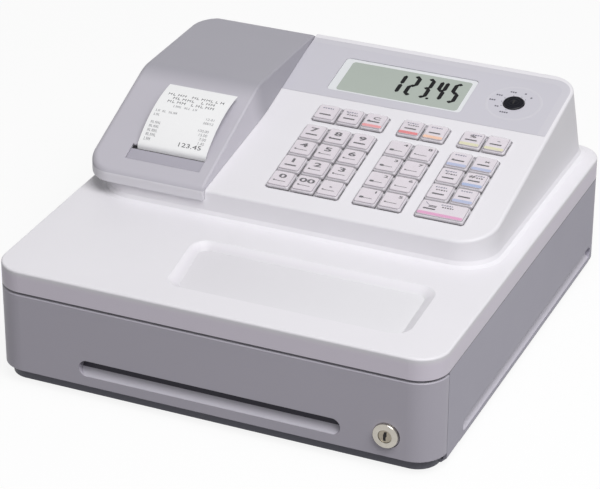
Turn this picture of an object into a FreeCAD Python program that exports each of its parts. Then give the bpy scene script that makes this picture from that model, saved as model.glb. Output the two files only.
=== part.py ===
import FreeCAD, Part
import math
import os

# Counter-top ticket register, millimetres. X runs to the right, the front faces -Y and Z is up.
# The origin is under the middle of the base, on the counter.

# Overall sizes
case_length = 326.0
case_depth = 344.0
foot_height = 3.0
housing_height = 69.4
rim_height = 16.8
case_corner = 21.0
wall = 2.5
overrun = 1.0

# Clearances
running_clearance = 0.05
slide_clearance = 0.3
moving_clearance = 0.4
seam_gap = 0.8

# Drawer housing
housing_setback = 20.5
base_lip_height = 7.9
base_lip_inset = 5.0
base_lip_setback = 5.0
base_chamfer = 4.0
groove_front_margin = 29.7
groove_rear_margin = 22.6
groove_bottom = 7.0
groove_height = 9.0
groove_depth = 3.0
groove_backing = 2.0
rail_offset_share = 0.41411
rail_width = 10.0

# Drawer front
front_seam = 0.5
front_bottom_gap = 0.5
front_return_gap = 0.6
front_edge_bevel = 1.2
grip_left_share = -0.29877
grip_right_share = 0.29294
grip_bottom = 15.8
grip_height = 12.2
grip_depth = 9.0
grip_wall = 1.8
grip_undercut = 5.0
lock_offset_share = 0.39233
lock_height = 24.9
post_radius = 4.0
post_offset_inner_share = 0.18405
post_offset_outer_share = 0.34356
post_rise = 46.0

# Drawer tray
tray_side_gap = 8.5
tray_front_setback = 14.6
tray_rear_margin = 22.0
tray_floor_lift = 5.8
tray_top_gap = 1.9
tray_wall = 2.0
tray_divider = 2.0
bill_bay_depth_share = 0.37791
bill_bays = 3
clip_axis_height = 50.0
clip_axis_setback = 10.0
clip_width = 16.0
clip_hub_radius = 4.0
clip_pin_radius = 1.5
clip_pin_length = 6.0
clip_reach_share = 0.22674
clip_thickness = 2.4
clip_tip_length = 14.0
clip_lug_thickness = 3.0
tongue_offset_share = 0.1227
tongue_width = 12.0
tongue_length = 10.0
tongue_thickness = 3.0
tongue_height = 28.0
tongue_window_width = 6.0
tongue_window_length = 6.0

# Coin tray
coin_rim_gap = 0.6
coin_height = 46.0
coin_wall = 2.4
coin_floor = 2.0
coin_scoop = 22.0
coin_columns = 4
coin_rows = 2

# Drawer lock and latch
lock_ring_radius = 8.8
lock_ring_height = 2.5
lock_ring_bevel = 1.0
lock_barrel_radius = 7.0
lock_barrel_length = 10.0
plug_radius = 4.8
plug_recess = 0.6
key_slot_width = 1.6
key_slot_height = 6.4
key_slot_depth = 2.0
cam_length = 19.4
cam_width = 7.0
cam_thickness = 1.5
latch_axis_setback = 4.5
latch_drop = 6.0
latch_hub_radius = 3.6
latch_pin_radius = 1.5
latch_width = 4.4
latch_arm_height = 4.0
latch_tip_length = 2.4
latch_lug_thickness = 2.4
latch_tip_gap = 0.6
latch_tip_lead = 0.4

# Top case
deck_thickness = 2.5
deck_round = 1.6
left_ledge = 14.0
right_ledge = 14.0
front_ledge_share = 0.36919
rear_ledge = 0.5
body_front_corner = 27.0
body_rear_corner = 20.0
side_draft_angle = 3.3
front_draft_angle = 4.6
rear_draft_angle = 13.5
body_reach = 64.0
inner_chords = 4
foot_flare = 4.0
slope_angle = 11.5
keyboard_rise = 27.3
plate = 2.5
top_edge_round = 2.2
dish_front_margin_share = 0.07267
dish_depth_along_share = 0.20058
dish_left_front_share = -0.13497
dish_left_rear_share = -0.16258
dish_right_front_share = 0.40184
dish_right_rear_share = 0.39264
dish_corner = 13.0
dish_slope_run = 7.0
dish_sink = 4.5
boss_radius = 3.6
case_boss_radius = 4.0
screw_hole_radius = 1.3
case_boss_side_margin = 6.0
case_boss_front_margin = 32.0
case_boss_rear_margin = 12.0
case_boss_rear_inset = 15.0
partition_thickness = 2.0
partition_rise = 4.0

# Keyboard
key_pitch_x_share = 0.0569
key_pitch_s_share = 0.05552
digit_left_share = -0.07362
group_gap_x_share = 0.02975
function_gap_x_share = 0.02761
rows_front_share = -0.08052
top_row_gap_share = 0.0186
key_gap = 0.8
key_proud = 3.0
key_skirt = 1.2
key_sink = 0.2
key_draft = 1.1
key_corner = 1.3
key_travel = 2.0
well_chamfer = 1.7
well_gap = 0.1
guide_thickness = 2.5
guide_rib = 3.2
guide_margin = 3.0
key_flange = 1.2
key_flange_gap = 0.3
pad_gap = 2.2
pad_height = 1.0
pad_radius = 4.0
mat_thickness = 1.3
mat_margin = 3.0
board_thickness = 1.6
board_left_share = -0.17485
board_right_share = 0.42331
board_front_share = -0.09884
board_rear_share = 0.43023
board_corner = 3.0
board_boss_inset = 6.0

# Display panel, display and mode switch
panel_front_share = 0.25
panel_right_share = 0.43865
panel_rear_share = 0.44767
panel_corner = 14.0
panel_thickness = 1.0
panel_gap = 0.2
window_left_share = -0.08742
window_right_share = 0.23313
window_front_share = 0.27703
window_rear_share = 0.39826
window_corner = 3.0
glass_left_share = -0.06288
glass_right_share = 0.22546
glass_front_share = 0.28198
glass_rear_share = 0.38953
glass_corner = 1.5
glass_sink = 5.0
glass_thickness = 1.6
glass_border = 1.5
lcd_body_thickness = 3.6
lcd_body_border = 3.0
funnel_wall = 2.2
rotor_x_share = 0.33528
rotor_s_share = 0.34244
rotor_radius = 7.8
rotor_proud = 1.2
rotor_edge = 0.6
rotor_shaft_radius = 4.0
rotor_flange_radius = 9.6
rotor_flange_thickness = 2.0
rotor_slot_width = 1.8
rotor_slot_length = 9.0
rotor_slot_depth = 2.6
rotor_hole_wall = 2.0

# Printer cover
cover_side_margin = 5.5
cover_beside_paper = 40.5
cover_front_lip = 1.5
cover_lip_rise = 20.7
cover_top_rise = 60.0
cover_slope_angle = 21.9
cover_crease_round = 34.0
cover_front_corner = 20.0
cover_rear_corner = 24.0
cover_wall = 2.2
cover_side_round = 5.2
cover_right_bevel = 1.4
cover_lean = 4.5
cover_lean_drop = 21.0
cover_skirt = 6.2
cover_seam = 0.5
cover_lift = 0.3
hinge_setback = 23.0
barrel_radius = 8.2
barrel_end_angle = 30.0
hinge_pin_radius = 2.0
hinge_pin_length = 3.4
hinge_ear_thickness = 2.6
hinge_ear_radius = 4.2
hinge_margin = 30.5
hinge_tuck = 8.3
hinge_lug_thickness = 3.0
hinge_lug_radius = 4.4
lug_lean_angle = 215.0
lug_arm = 14.0
lug_depth = 24.0
hinge_room = 8.6
hinge_notch_front = 9.5

# Receipt slot and strip
slot_margin = 27.4
slot_front_run = 23.1
slot_width = 4.0
scoop_run = 10.0
scoop_sink = 5.0
slot_block = 8.0
slot_block_border = 4.0
tooth_pitch = 3.0
tooth_length = 1.5
tooth_thickness = 1.0
strip_margin = 31.8
paper_width = 54.0
paper_thickness = 0.25
strip_start_drop = 7.0
strip_bend_radius = 4.0
strip_bend_angle = 48.0
strip_end_lift = 4.0
strip_end_run = 54.0

# Printer
frame_plate = 2.0
frame_base = 2.5
frame_front_share = -0.08721
frame_rear_share = 0.36047
frame_side_gap = 0.9
platen_y_share = -0.03779
platen_rise = 28.6
platen_radius = 6.0
platen_journal_radius = 2.5
gear_module = 1.0
platen_teeth = 16
feed_teeth = 24
gear_width = 4.0
gear_gap = 1.2
gear_backlash = 0.12
gear_addendum_share = 0.9
gear_dedendum_share = 1.15
pressure_angle = 20.0
feed_angle = -18.0
feed_shaft_radius = 2.0
head_thickness = 5.7
head_height = 12.0
head_drop = 7.0
roll_y_share = 0.26744
roll_radius = 25.0
roll_core_radius = 6.0
roll_lift = 4.1
saddle_height = 11.0
saddle_half_depth = 18.0

# Feet, screws and cord bush
foot_radius = 8.0
foot_inset_side = 24.0
foot_inset_front = 26.0
foot_inset_rear = 24.0
foot_edge = 0.8
screw_head_radius = 2.6
screw_head_height = 2.0
screw_radius = 1.2
screw_length = 9.0
bush_x_share = 0.33742
bush_rise = 26.0
bush_radius = 6.0
bush_flange_radius = 9.0
bush_flange = 2.5
bush_length = 7.0
bush_bore_radius = 3.0

# Places and widths that follow the case when its length or depth changes
rail_offset = rail_offset_share * case_length
grip_left = grip_left_share * case_length
grip_right = grip_right_share * case_length
lock_offset = lock_offset_share * case_length
post_offset_inner = post_offset_inner_share * case_length
post_offset_outer = post_offset_outer_share * case_length
tongue_offset = tongue_offset_share * case_length
dish_left_front = dish_left_front_share * case_length
dish_left_rear = dish_left_rear_share * case_length
dish_right_front = dish_right_front_share * case_length
dish_right_rear = dish_right_rear_share * case_length
key_pitch_x = key_pitch_x_share * case_length
digit_left = digit_left_share * case_length
group_gap_x = group_gap_x_share * case_length
function_gap_x = function_gap_x_share * case_length
board_left = board_left_share * case_length
board_right = board_right_share * case_length
panel_right = panel_right_share * case_length
window_left = window_left_share * case_length
window_right = window_right_share * case_length
glass_left = glass_left_share * case_length
glass_right = glass_right_share * case_length
rotor_x = rotor_x_share * case_length
bush_x = bush_x_share * case_length
bill_bay_depth = bill_bay_depth_share * case_depth
clip_reach = clip_reach_share * case_depth
front_ledge = front_ledge_share * case_depth
dish_front_margin = dish_front_margin_share * case_depth
dish_depth_along = dish_depth_along_share * case_depth
key_pitch_s = key_pitch_s_share * case_depth
rows_front = rows_front_share * case_depth
top_row_gap = top_row_gap_share * case_depth
board_front = board_front_share * case_depth
board_rear = board_rear_share * case_depth
panel_front = panel_front_share * case_depth
panel_rear = panel_rear_share * case_depth
window_front = window_front_share * case_depth
window_rear = window_rear_share * case_depth
glass_front = glass_front_share * case_depth
glass_rear = glass_rear_share * case_depth
rotor_s = rotor_s_share * case_depth
frame_front = frame_front_share * case_depth
frame_rear = frame_rear_share * case_depth
platen_y = platen_y_share * case_depth
roll_y = roll_y_share * case_depth

# Levels and planes that the pieces share
base_bottom = foot_height
base_top = base_bottom + wall
housing_top = foot_height + housing_height
ceiling_bottom = housing_top - wall
deck_top = housing_top + rim_height
front_face = -case_depth / 2
rear_face = case_depth / 2
side_face = case_length / 2
housing_front = front_face + housing_setback
slope_height = deck_top + keyboard_rise
slope_tan = math.tan(math.radians(slope_angle))
slope_cos = math.cos(math.radians(slope_angle))
cover_left = -side_face + cover_side_margin
cover_right = cover_left + cover_beside_paper + paper_width
slot_left = cover_left + slot_margin
strip_left = cover_left + strip_margin
slot_right = strip_left + paper_width
hinge_left = cover_left + hinge_margin
hinge_right = slot_right - hinge_tuck
bay_right = cover_right + cover_seam
cover_front = front_face + front_ledge - cover_front_lip
cover_top = deck_top + cover_top_rise
lip_top = deck_top + cover_lip_rise
cover_tan = math.tan(math.radians(cover_slope_angle))
cover_cos = math.cos(math.radians(cover_slope_angle))
hinge_y = rear_face - hinge_setback
hinge_z = cover_top - barrel_radius
department_left = digit_left + 3 * key_pitch_x + group_gap_x
function_left = department_left + 2 * key_pitch_x + function_gap_x
top_row_front = rows_front + 4 * key_pitch_s + top_row_gap
guide_bottom = -plate - guide_thickness
flange_top = guide_bottom - key_flange_gap
key_bottom = flange_top - key_flange
pad_top = key_bottom - pad_gap
mat_bottom = pad_top - pad_height - mat_thickness
board_bottom = mat_bottom - board_thickness
far = case_length + case_depth
lock_x = lock_offset
lock_z = foot_height + lock_height
plate_left = strip_left - frame_side_gap
plate_right = strip_left + paper_width + frame_side_gap
platen_z = housing_top + platen_rise
roll_z = housing_top + frame_base + roll_lift + roll_radius
tray_front = front_face + tray_front_setback
tray_rear = rear_face - tray_rear_margin
tray_bottom = base_top + tray_floor_lift
tray_top = ceiling_bottom - tray_top_gap
tray_half = side_face - wall - tray_side_gap
bay_front = tray_rear - tray_wall - bill_bay_depth
clip_axis_y = tray_rear - tray_wall - clip_axis_setback
clip_axis_z = tray_bottom + clip_axis_height
slot_front = cover_front + slot_front_run


def point(x, y, z):
    return FreeCAD.Vector(x, y, z)


def box(x0, x1, y0, y1, z0, z1):
    """Block between two corners."""
    return Part.makeBox(x1 - x0, y1 - y0, z1 - z0, point(x0, y0, z0))


def rod(radius, start, end):
    """Round bar between two points."""
    axis = end.sub(start)
    return Part.makeCylinder(radius, axis.Length, start, axis)


def joined(shapes):
    """One solid from overlapping or touching solids."""
    first = shapes[0]
    return first.fuse(shapes[1:]).removeSplitter() if len(shapes) > 1 else first


def rounded_wire(corners, radii, place, chords=0):
    """Closed outline with an arc, or a few chords, at each corner; place turns (a, b) into a point in space."""
    stations = []
    count = len(corners)
    for index, (corner, radius) in enumerate(zip(corners, radii)):
        here = FreeCAD.Vector(corner[0], corner[1], 0)
        before = FreeCAD.Vector(*corners[index - 1], 0).sub(here).normalize()
        after = FreeCAD.Vector(*corners[(index + 1) % count], 0).sub(here).normalize()
        if radius <= 0:
            stations.append((here, here, here))
            continue
        half = before.getAngle(after) / 2
        run = radius / math.tan(half)
        middle = before.add(after).normalize()
        crown = middle * (radius / math.sin(half) - radius)
        stations.append((here.add(before * run), here.add(crown), here.add(after * run)))
    if chords:
        path = []
        for start, crown, end in stations:
            corner = [start]
            if start.distanceToPoint(end) > 0:
                corner = Part.Arc(start, crown, end).toShape().discretize(chords + 1)
            path += [place(p.x, p.y) for p in corner]
        return Part.makePolygon(path + path[:1])
    edges = []
    for index, (start, crown, end) in enumerate(stations):
        if start.distanceToPoint(end) > 0:
            arc_points = [place(p.x, p.y) for p in (start, crown, end)]
            edges.append(Part.Arc(*arc_points).toShape())
        following = stations[(index + 1) % count][0]
        if end.distanceToPoint(following) > running_clearance / 10:
            edges.append(Part.makeLine(place(end.x, end.y), place(following.x, following.y)))
    return Part.Wire(edges)


def flat(level):
    """Places an outline at a height."""
    return lambda a, b: point(a, b, level)


def upright(x):
    """Places an outline of (y, z) values in a plane across X."""
    return lambda a, b: point(x, a, b)


def prism(corners, radii, place, reach):
    """Straight solid on an outline."""
    return Part.Face(rounded_wire(corners, radii, place)).extrude(reach)


def rectangle(x0, x1, y0, y1):
    return [(x0, y0), (x1, y0), (x1, y1), (x0, y1)]


def cut_corners(x0, x1, y0, y1, cut):
    """Rectangle with its corners cut off."""
    return [
        (x0 + cut, y0), (x1 - cut, y0), (x1, y0 + cut), (x1, y1 - cut),
        (x1 - cut, y1), (x0 + cut, y1), (x0, y1 - cut), (x0, y0 + cut),
    ]


def octagon_bar(radius, start, end):
    """Eight-sided bar between two points, with its corners at the radius."""
    axis = end.sub(start)
    turn = FreeCAD.Rotation(point(0, 0, 1), axis)
    half = radius * math.cos(math.pi / 8)
    corners = cut_corners(-half, half, -half, half, half * (2 - math.sqrt(2)))
    return prism(corners, [0] * 8, lambda a, b: start.add(turn.multVec(point(a, b, 0))), axis)


def slab(x0, x1, y0, y1, z0, z1, radius):
    """Block with upright corners rounded."""
    return prism(rectangle(x0, x1, y0, y1), [radius] * 4, flat(z0), point(0, 0, z1 - z0))


def frustum(lower, upper, low, high):
    """Flat-sided solid between two like outlines at two heights."""
    bottom = [point(x, y, low) for x, y in lower]
    top = [point(x, y, high) for x, y in upper]
    faces = [Part.Face(Part.makePolygon(ring + ring[:1])) for ring in (bottom, top)]
    for index in range(len(bottom)):
        side = [bottom[index - 1], bottom[index], top[index], top[index - 1], bottom[index - 1]]
        faces.append(Part.Face(Part.makePolygon(side)))
    solid = Part.Solid(Part.Shell(faces))
    if solid.Volume < 0:
        solid.reverse()
    return solid


def on_slope(shape):
    """Moves a shape made flat at zero onto the keyboard plane."""
    moved = shape.copy()
    moved.rotate(point(0, 0, 0), point(1, 0, 0), slope_angle)
    moved.translate(point(0, 0, slope_height))
    return moved


def slope_z(y, depth):
    """Height of the keyboard plane, or of a plane some depth under it."""
    return slope_height + y * slope_tan - depth / slope_cos


def case_prism(inset, z0, z1):
    """Plan of the whole case, from one height to another."""
    half_x, half_y = side_face - inset, rear_face - inset
    return slab(-half_x, half_x, -half_y, half_y, z0, z1, case_corner - inset)


def body_wire(inset, rise, chords=0):
    """Outline of the drafted upper body at a height over the deck."""
    side = inset + rise * math.tan(math.radians(side_draft_angle))
    front = inset + rise * math.tan(math.radians(front_draft_angle))
    rear = inset + rise * math.tan(math.radians(rear_draft_angle))
    corners = rectangle(
        -side_face + left_ledge + side,
        side_face - right_ledge - side,
        front_face + front_ledge + front,
        rear_face - rear_ledge - rear,
    )
    front_radius, rear_radius = body_front_corner - inset, body_rear_corner - inset
    radii = [front_radius, front_radius, rear_radius, rear_radius]
    return rounded_wire(corners, radii, flat(deck_top + rise), chords)


def body_solid(inset, low, chords=0):
    return Part.makeLoft([body_wire(inset, low, chords), body_wire(inset, body_reach, chords)], True, True)


def body_flare():
    """Soft foot where the upper body meets the deck."""
    sections = []
    steps = 2
    for step in range(steps + 1):
        angle = math.pi / 2 * step / steps
        out = foot_flare * (1 - math.sin(angle))
        sections.append(body_wire(-out, foot_flare * (1 - math.cos(angle))))
    return Part.makeLoft(sections, True, True)


def above_slope(depth):
    """Everything over the keyboard plane less a depth."""
    return on_slope(box(-far, far, -far, far, -depth, far))


def dish_corners(inset):
    front = front_face + dish_front_margin
    return [
        (dish_left_front + inset, front + inset),
        (dish_right_front - inset, front + inset),
        (dish_right_rear - inset, front + dish_depth_along - inset),
        (dish_left_rear + inset, front + dish_depth_along - inset),
    ]


def dish_loft(grow, top, bottom):
    upper = rounded_wire(dish_corners(-grow), [dish_corner + grow] * 4, flat(top))
    lower_inset = dish_slope_run - grow
    lower = rounded_wire(dish_corners(lower_inset), [dish_corner - lower_inset] * 4, flat(bottom))
    return Part.makeLoft([upper, lower], True, True)


def key_cells():
    """Every key as (name, left, front, width) on the keyboard plane."""
    cells = []
    digit_names = ["0", "00", "point", "1", "2", "3", "4", "5", "6", "7", "8", "9"]
    for index, name in enumerate(digit_names):
        left = digit_left + index % 3 * key_pitch_x
        cells.append(("key_" + name, left, rows_front + index // 3 * key_pitch_s, key_pitch_x))
    for index in range(8):
        left = department_left + index // 4 * key_pitch_x
        front = rows_front + index % 4 * key_pitch_s
        cells.append((f"key_department_{index + 1}", left, front, key_pitch_x))
    cells.append(("key_total", function_left, rows_front, 2 * key_pitch_x))
    function_names = ["paid_out", "subtotal", "charge", "check", "tax", "quantity"]
    for index, name in enumerate(function_names):
        left = function_left + index % 2 * key_pitch_x
        front = rows_front + (1 + index // 2) * key_pitch_s
        cells.append(("key_" + name, left, front, key_pitch_x))
    for left, names in (
        (digit_left, ["feed", "receipt", "clear"]),
        (department_left, ["refund", "void"]),
        (function_left, ["percent", "minus"]),
    ):
        for index, name in enumerate(names):
            cells.append(("key_" + name, left + index * key_pitch_x, top_row_front, key_pitch_x))
    return cells


def key_groups():
    """Wells of the keyboard as (left, front, columns, rows)."""
    return [
        (digit_left, rows_front, 3, 4),
        (department_left, rows_front, 2, 4),
        (function_left, rows_front, 2, 4),
        (digit_left, top_row_front, 3, 1),
        (department_left, top_row_front, 2, 1),
        (function_left, top_row_front, 2, 1),
    ]


def well_cutters():
    """Group openings in the top plate and the guide openings under them."""
    cutters = []
    for left, front, columns, rows in key_groups():
        x0, x1 = left - well_gap, left + columns * key_pitch_x + well_gap
        s0, s1 = front - well_gap, front + rows * key_pitch_s + well_gap
        corners = cut_corners(x0, x1, s0, s1, well_chamfer)
        cutters.append(prism(corners, [0] * 8, flat(-plate), point(0, 0, plate + overrun)))
    for _, left, front, width in key_cells():
        half = guide_rib / 2
        low = guide_bottom - overrun
        cutters.append(
            box(left + half, left + width - half, front + half, front + key_pitch_s - half, low, overrun)
        )
    return cutters


def glass_outline(grow):
    return rectangle(glass_left - grow, glass_right + grow, glass_front - grow, glass_rear + grow)


def window_outline(grow):
    return rectangle(window_left - grow, window_right + grow, window_front - grow, window_rear + grow)


def window_funnel(grow, overlap):
    """Sloped walls from the window down to the glass."""
    upper = rounded_wire(window_outline(grow), [window_corner + grow] * 4, flat(overlap))
    lower = rounded_wire(glass_outline(grow), [glass_corner + grow] * 4, flat(-glass_sink))
    return Part.makeLoft([upper, lower], True, True)


def panel_slab(gap, low, high):
    """Display panel outline: square at the cover, rounded at the case edge."""
    corners = rectangle(bay_right + gap, panel_right - gap, panel_front + gap, panel_rear - gap)
    radii = [0, 0, panel_corner - gap, 0]
    return prism(corners, radii, flat(low), point(0, 0, high - low))


def board_boss_places():
    inset = board_boss_inset
    columns = (board_left + inset, board_right - inset)
    return [(x, s) for x in columns for s in (board_front + inset, board_rear - inset)]


def case_boss_places():
    side = side_face - case_boss_side_margin
    rear_side = side_face - case_boss_rear_inset
    front = front_face + case_boss_front_margin
    rear = rear_face - case_boss_rear_margin
    return [(-side, front), (side, front), (rear_side, rear), (-rear_side, rear)]


def hinge_lug(x):
    """Plate that rises from the rear wall and holds one cover pin."""
    angle = math.radians(lug_lean_angle)
    along = (math.cos(angle), math.sin(angle))
    across = (-along[1] * hinge_lug_radius, along[0] * hinge_lug_radius)
    elbow = (hinge_y + along[0] * lug_arm, hinge_z + along[1] * lug_arm)
    arm = [
        (hinge_y + across[0], hinge_z + across[1]),
        (hinge_y - across[0], hinge_z - across[1]),
        (elbow[0] - across[0], elbow[1] - across[1]),
        (elbow[0] + across[0], elbow[1] + across[1]),
    ]
    rear_wall = rear_face - rear_ledge - cover_top_rise * math.tan(math.radians(rear_draft_angle))
    low = min(corner[1] for corner in arm)
    web = rectangle(elbow[0] - hinge_lug_radius, rear_wall + wall, low - lug_depth, low + wall)
    width = point(hinge_lug_thickness, 0, 0)
    pieces = [
        rod(hinge_lug_radius, point(x, hinge_y, hinge_z), point(x + hinge_lug_thickness, hinge_y, hinge_z)),
        prism(arm, [0] * 4, upright(x), width),
        prism(web, [0] * 4, upright(x), width),
    ]
    lug = joined(pieces)
    bore = hinge_pin_radius + running_clearance
    start = point(x - overrun, hinge_y, hinge_z)
    return lug.cut(rod(bore, start, point(x + hinge_lug_thickness + overrun, hinge_y, hinge_z)))


def lug_places():
    gap = slide_clearance
    return [hinge_left + gap, hinge_right - gap - hinge_lug_thickness]


def make_top_case():
    body = body_solid(0, 0).cut(above_slope(0))
    top_face = max(body.Faces, key=lambda face: face.CenterOfMass.z)
    body = body.makeFillet(top_edge_round, top_face.Edges)
    cover_room = on_slope(box(-far, bay_right, -far, far, -cover_skirt - cover_lift, far))
    body = body.cut(cover_room)
    deck = case_prism(0, housing_top, deck_top)
    rim = [e for e in deck.Edges if all(v.Z > deck_top - overrun / 2 for v in e.Vertexes)]
    deck = deck.makeFillet(deck_round, rim)
    flare = body_flare().common(case_prism(0, housing_top, deck_top + foot_flare + overrun))
    case = joined([deck, flare, body])
    hollow = body_solid(wall, -deck_thickness - overrun, inner_chords).cut(above_slope(plate))
    hollow = hollow.fuse(case_prism(wall, housing_top - overrun, deck_top - deck_thickness))
    hollow = hollow.cut(dish_loft(deck_thickness, deck_top, deck_top - dish_sink - deck_thickness))
    case = case.cut(hollow)
    case = case.cut(dish_loft(0, deck_top, deck_top - dish_sink))
    notch_y = hinge_y - hinge_notch_front
    case = case.cut(box(-far, bay_right, notch_y, far, hinge_z - hinge_room, far))
    inner = body_solid(wall - slide_clearance, -deck_thickness, inner_chords).cut(above_slope(plate / 2))
    partition_bottom = housing_top + partition_rise
    partition = box(bay_right, bay_right + partition_thickness, -far, far, partition_bottom, far)
    additions = [partition.common(inner)]
    guide_left, guide_right = digit_left - guide_margin, function_left + 2 * key_pitch_x + guide_margin
    guide_front = rows_front - guide_margin
    guide_rear = top_row_front + key_pitch_s + guide_margin
    guide = box(guide_left, guide_right, guide_front, guide_rear, guide_bottom, -plate / 2)
    additions.append(on_slope(guide))
    additions.append(on_slope(window_funnel(funnel_wall, -panel_thickness)))
    collar = rotor_radius + running_clearance + rotor_hole_wall
    low, high = point(rotor_x, rotor_s, -plate - overrun), point(rotor_x, rotor_s, -plate / 2)
    additions.append(on_slope(rod(collar, low, high)))
    for x, s in board_boss_places():
        low, high = point(x, s, mat_bottom), point(x, s, -plate / 2)
        additions.append(on_slope(rod(boss_radius, low, high)))
    for x, y in case_boss_places():
        low, high = point(x, y, housing_top), point(x, y, deck_top - deck_thickness / 2)
        additions.append(rod(case_boss_radius, low, high).common(case_prism(wall / 2, housing_top, deck_top)))
    case = joined([case] + additions + [hinge_lug(x) for x in lug_places()])
    cutters = [on_slope(cutter) for cutter in well_cutters()]
    cutters.append(on_slope(panel_slab(0, -panel_thickness, overrun)))
    cutters.append(on_slope(window_funnel(0, -panel_thickness)))
    window_room = prism(
        window_outline(0), [window_corner] * 4, flat(-panel_thickness), point(0, 0, overrun)
    )
    cutters.append(on_slope(window_room))
    low, high = point(rotor_x, rotor_s, -far / 10), point(rotor_x, rotor_s, overrun)
    cutters.append(on_slope(rod(rotor_radius + running_clearance, low, high)))
    for x, y in case_boss_places():
        top = housing_top + screw_length
        cutters.append(rod(screw_hole_radius, point(x, y, housing_top - overrun), point(x, y, top)))
    return case.cut(cutters)


def make_display_panel():
    panel = panel_slab(panel_gap, -panel_thickness, 0)
    window = prism(window_outline(0), [window_corner] * 4, flat(-far), point(0, 0, 2 * far))
    hole_radius = rotor_radius + slide_clearance
    hole = rod(hole_radius, point(rotor_x, rotor_s, -far), point(rotor_x, rotor_s, far))
    return on_slope(panel.cut([window, hole]))


def make_lcd_module():
    glass = prism(
        glass_outline(glass_border), [glass_corner] * 4, flat(-glass_sink), point(0, 0, -glass_thickness)
    )
    body = prism(
        glass_outline(lcd_body_border), [glass_corner] * 4, flat(-glass_sink - glass_thickness),
        point(0, 0, -lcd_body_thickness),
    )
    return on_slope(joined([glass, body]))


def make_mode_rotor():
    flange_top_n = -plate - overrun - slide_clearance
    flange_low = flange_top_n - rotor_flange_thickness
    shaft_low = mat_bottom + slide_clearance
    centre = lambda n: point(rotor_x, rotor_s, n)
    disc = rod(rotor_radius, centre(flange_low), centre(rotor_proud))
    disc = disc.makeChamfer(rotor_edge, [max(disc.Edges, key=lambda e: e.CenterOfMass.z)])
    flange = octagon_bar(rotor_flange_radius, centre(flange_low), centre(flange_top_n))
    shaft = octagon_bar(rotor_shaft_radius, centre(shaft_low), centre(flange_low))
    half_w, half_l = rotor_slot_width / 2, rotor_slot_length / 2
    slot = box(
        rotor_x - half_w, rotor_x + half_w, rotor_s - half_l, rotor_s + half_l,
        rotor_proud - rotor_slot_depth, rotor_proud + overrun,
    )
    return on_slope(joined([disc, flange, shaft]).cut(slot))


def make_key(left, front, width):
    """Cap over the guide plate, stem through it and flange under it."""
    gap = key_gap / 2
    right, rear = left + width, front + key_pitch_s
    low = cut_corners(left + gap, right - gap, front + gap, rear - gap, key_corner)
    skirt = prism(low, [0] * 8, flat(-key_sink), point(0, 0, key_sink + key_skirt))
    inset = gap + key_draft
    high = cut_corners(left + inset, right - inset, front + inset, rear - inset, key_corner)
    crown = frustum(low, high, key_skirt, key_proud)
    stem_gap = guide_rib / 2 + moving_clearance
    stem = box(left + stem_gap, right - stem_gap, front + stem_gap, rear - stem_gap, key_bottom, 0)
    flange = box(left + gap, right - gap, front + gap, rear - gap, key_bottom, flange_top)
    return on_slope(joined([skirt, crown, stem, flange]))


def make_key_mat():
    left, right = digit_left - mat_margin, function_left + 2 * key_pitch_x + mat_margin
    front, rear = rows_front - mat_margin, top_row_front + key_pitch_s + mat_margin
    sheet = box(left, right, front, rear, mat_bottom, mat_bottom + mat_thickness)
    pads = []
    for _, key_left, key_front, width in key_cells():
        x, s = key_left + width / 2, key_front + key_pitch_s / 2
        pads.append(octagon_bar(pad_radius, point(x, s, mat_bottom), point(x, s, pad_top)))
    return on_slope(joined([sheet] + pads))


def make_main_board():
    board = slab(board_left, board_right, board_front, board_rear, board_bottom, mat_bottom, board_corner)
    return on_slope(board)


def cover_line(y, inset):
    """Height of the sloping face of the cover, or of a face inside it."""
    return lip_top + (y - cover_front) * cover_tan - inset / cover_cos


def cover_crease(inset):
    """Place along Y where the sloping face meets the level top."""
    return cover_front + (cover_top - inset - lip_top + inset / cover_cos) / cover_tan


def cover_profile(inset, open_bottom):
    """Side outline of the cover as corners and their radii."""
    radius = barrel_radius - inset
    crease_y = cover_crease(inset)
    end = math.radians(barrel_end_angle)
    lift = radius * math.tan(end / 2)
    last = (hinge_y + radius * math.cos(end), hinge_z - radius * math.sin(end))
    front = cover_front + inset
    corners = [
        (front, cover_line(front, inset)),
        (crease_y, cover_top - inset),
        (hinge_y + radius, cover_top - inset),
        (hinge_y + radius, hinge_z - lift),
        last,
    ]
    radii = [0, cover_crease_round - inset, radius, radius, 0]
    skirt_rear = hinge_y - barrel_radius
    if open_bottom:
        low = deck_top
        corners += [(skirt_rear, low), (front, low)]
        radii += [0, 0]
    else:
        inner = barrel_radius - cover_wall
        corners += [
            (hinge_y + inner * math.cos(end), hinge_z - inner * math.sin(end)),
            (skirt_rear, slope_z(skirt_rear, cover_skirt)),
            (front, slope_z(front, cover_skirt)),
        ]
        radii += [0, 0, 0]
    return corners, radii


def cover_block(inset, open_bottom):
    """Solid inside the cover's outer skin moved in by an inset."""
    corners, radii = cover_profile(inset, open_bottom)
    left, right = cover_left + inset, cover_right - inset
    bevel, bevel_drop = cover_right_bevel, cover_right_bevel / 2
    main = prism(corners, radii, upright(left), point(right - bevel - left, 0, 0))
    bevelled = prism(corners, radii, upright(right - bevel), point(bevel, 0, -bevel_drop))
    leaning = prism(corners, radii, upright(right), point(cover_lean, 0, -cover_lean_drop))
    leaning.translate(point(0, 0, -bevel_drop))
    front_radius, rear_radius = cover_front_corner - inset, cover_rear_corner - inset
    plan = prism(
        rectangle(left, cover_right + 2 * cover_lean, cover_front + inset, rear_face),
        [front_radius, 0, 0, 0],
        flat(deck_top - overrun),
        point(0, 0, cover_top_rise + 2 * overrun),
    )
    rear_edge = hinge_y + barrel_radius - inset
    rear_plan = prism(
        rectangle(left, cover_right + 2 * cover_lean, front_face, rear_edge),
        [0, 0, 0, rear_radius],
        flat(deck_top - overrun),
        point(0, 0, cover_top_rise + 2 * overrun),
    )
    return joined([main, bevelled, leaning]).common(plan).common(rear_plan)


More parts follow.
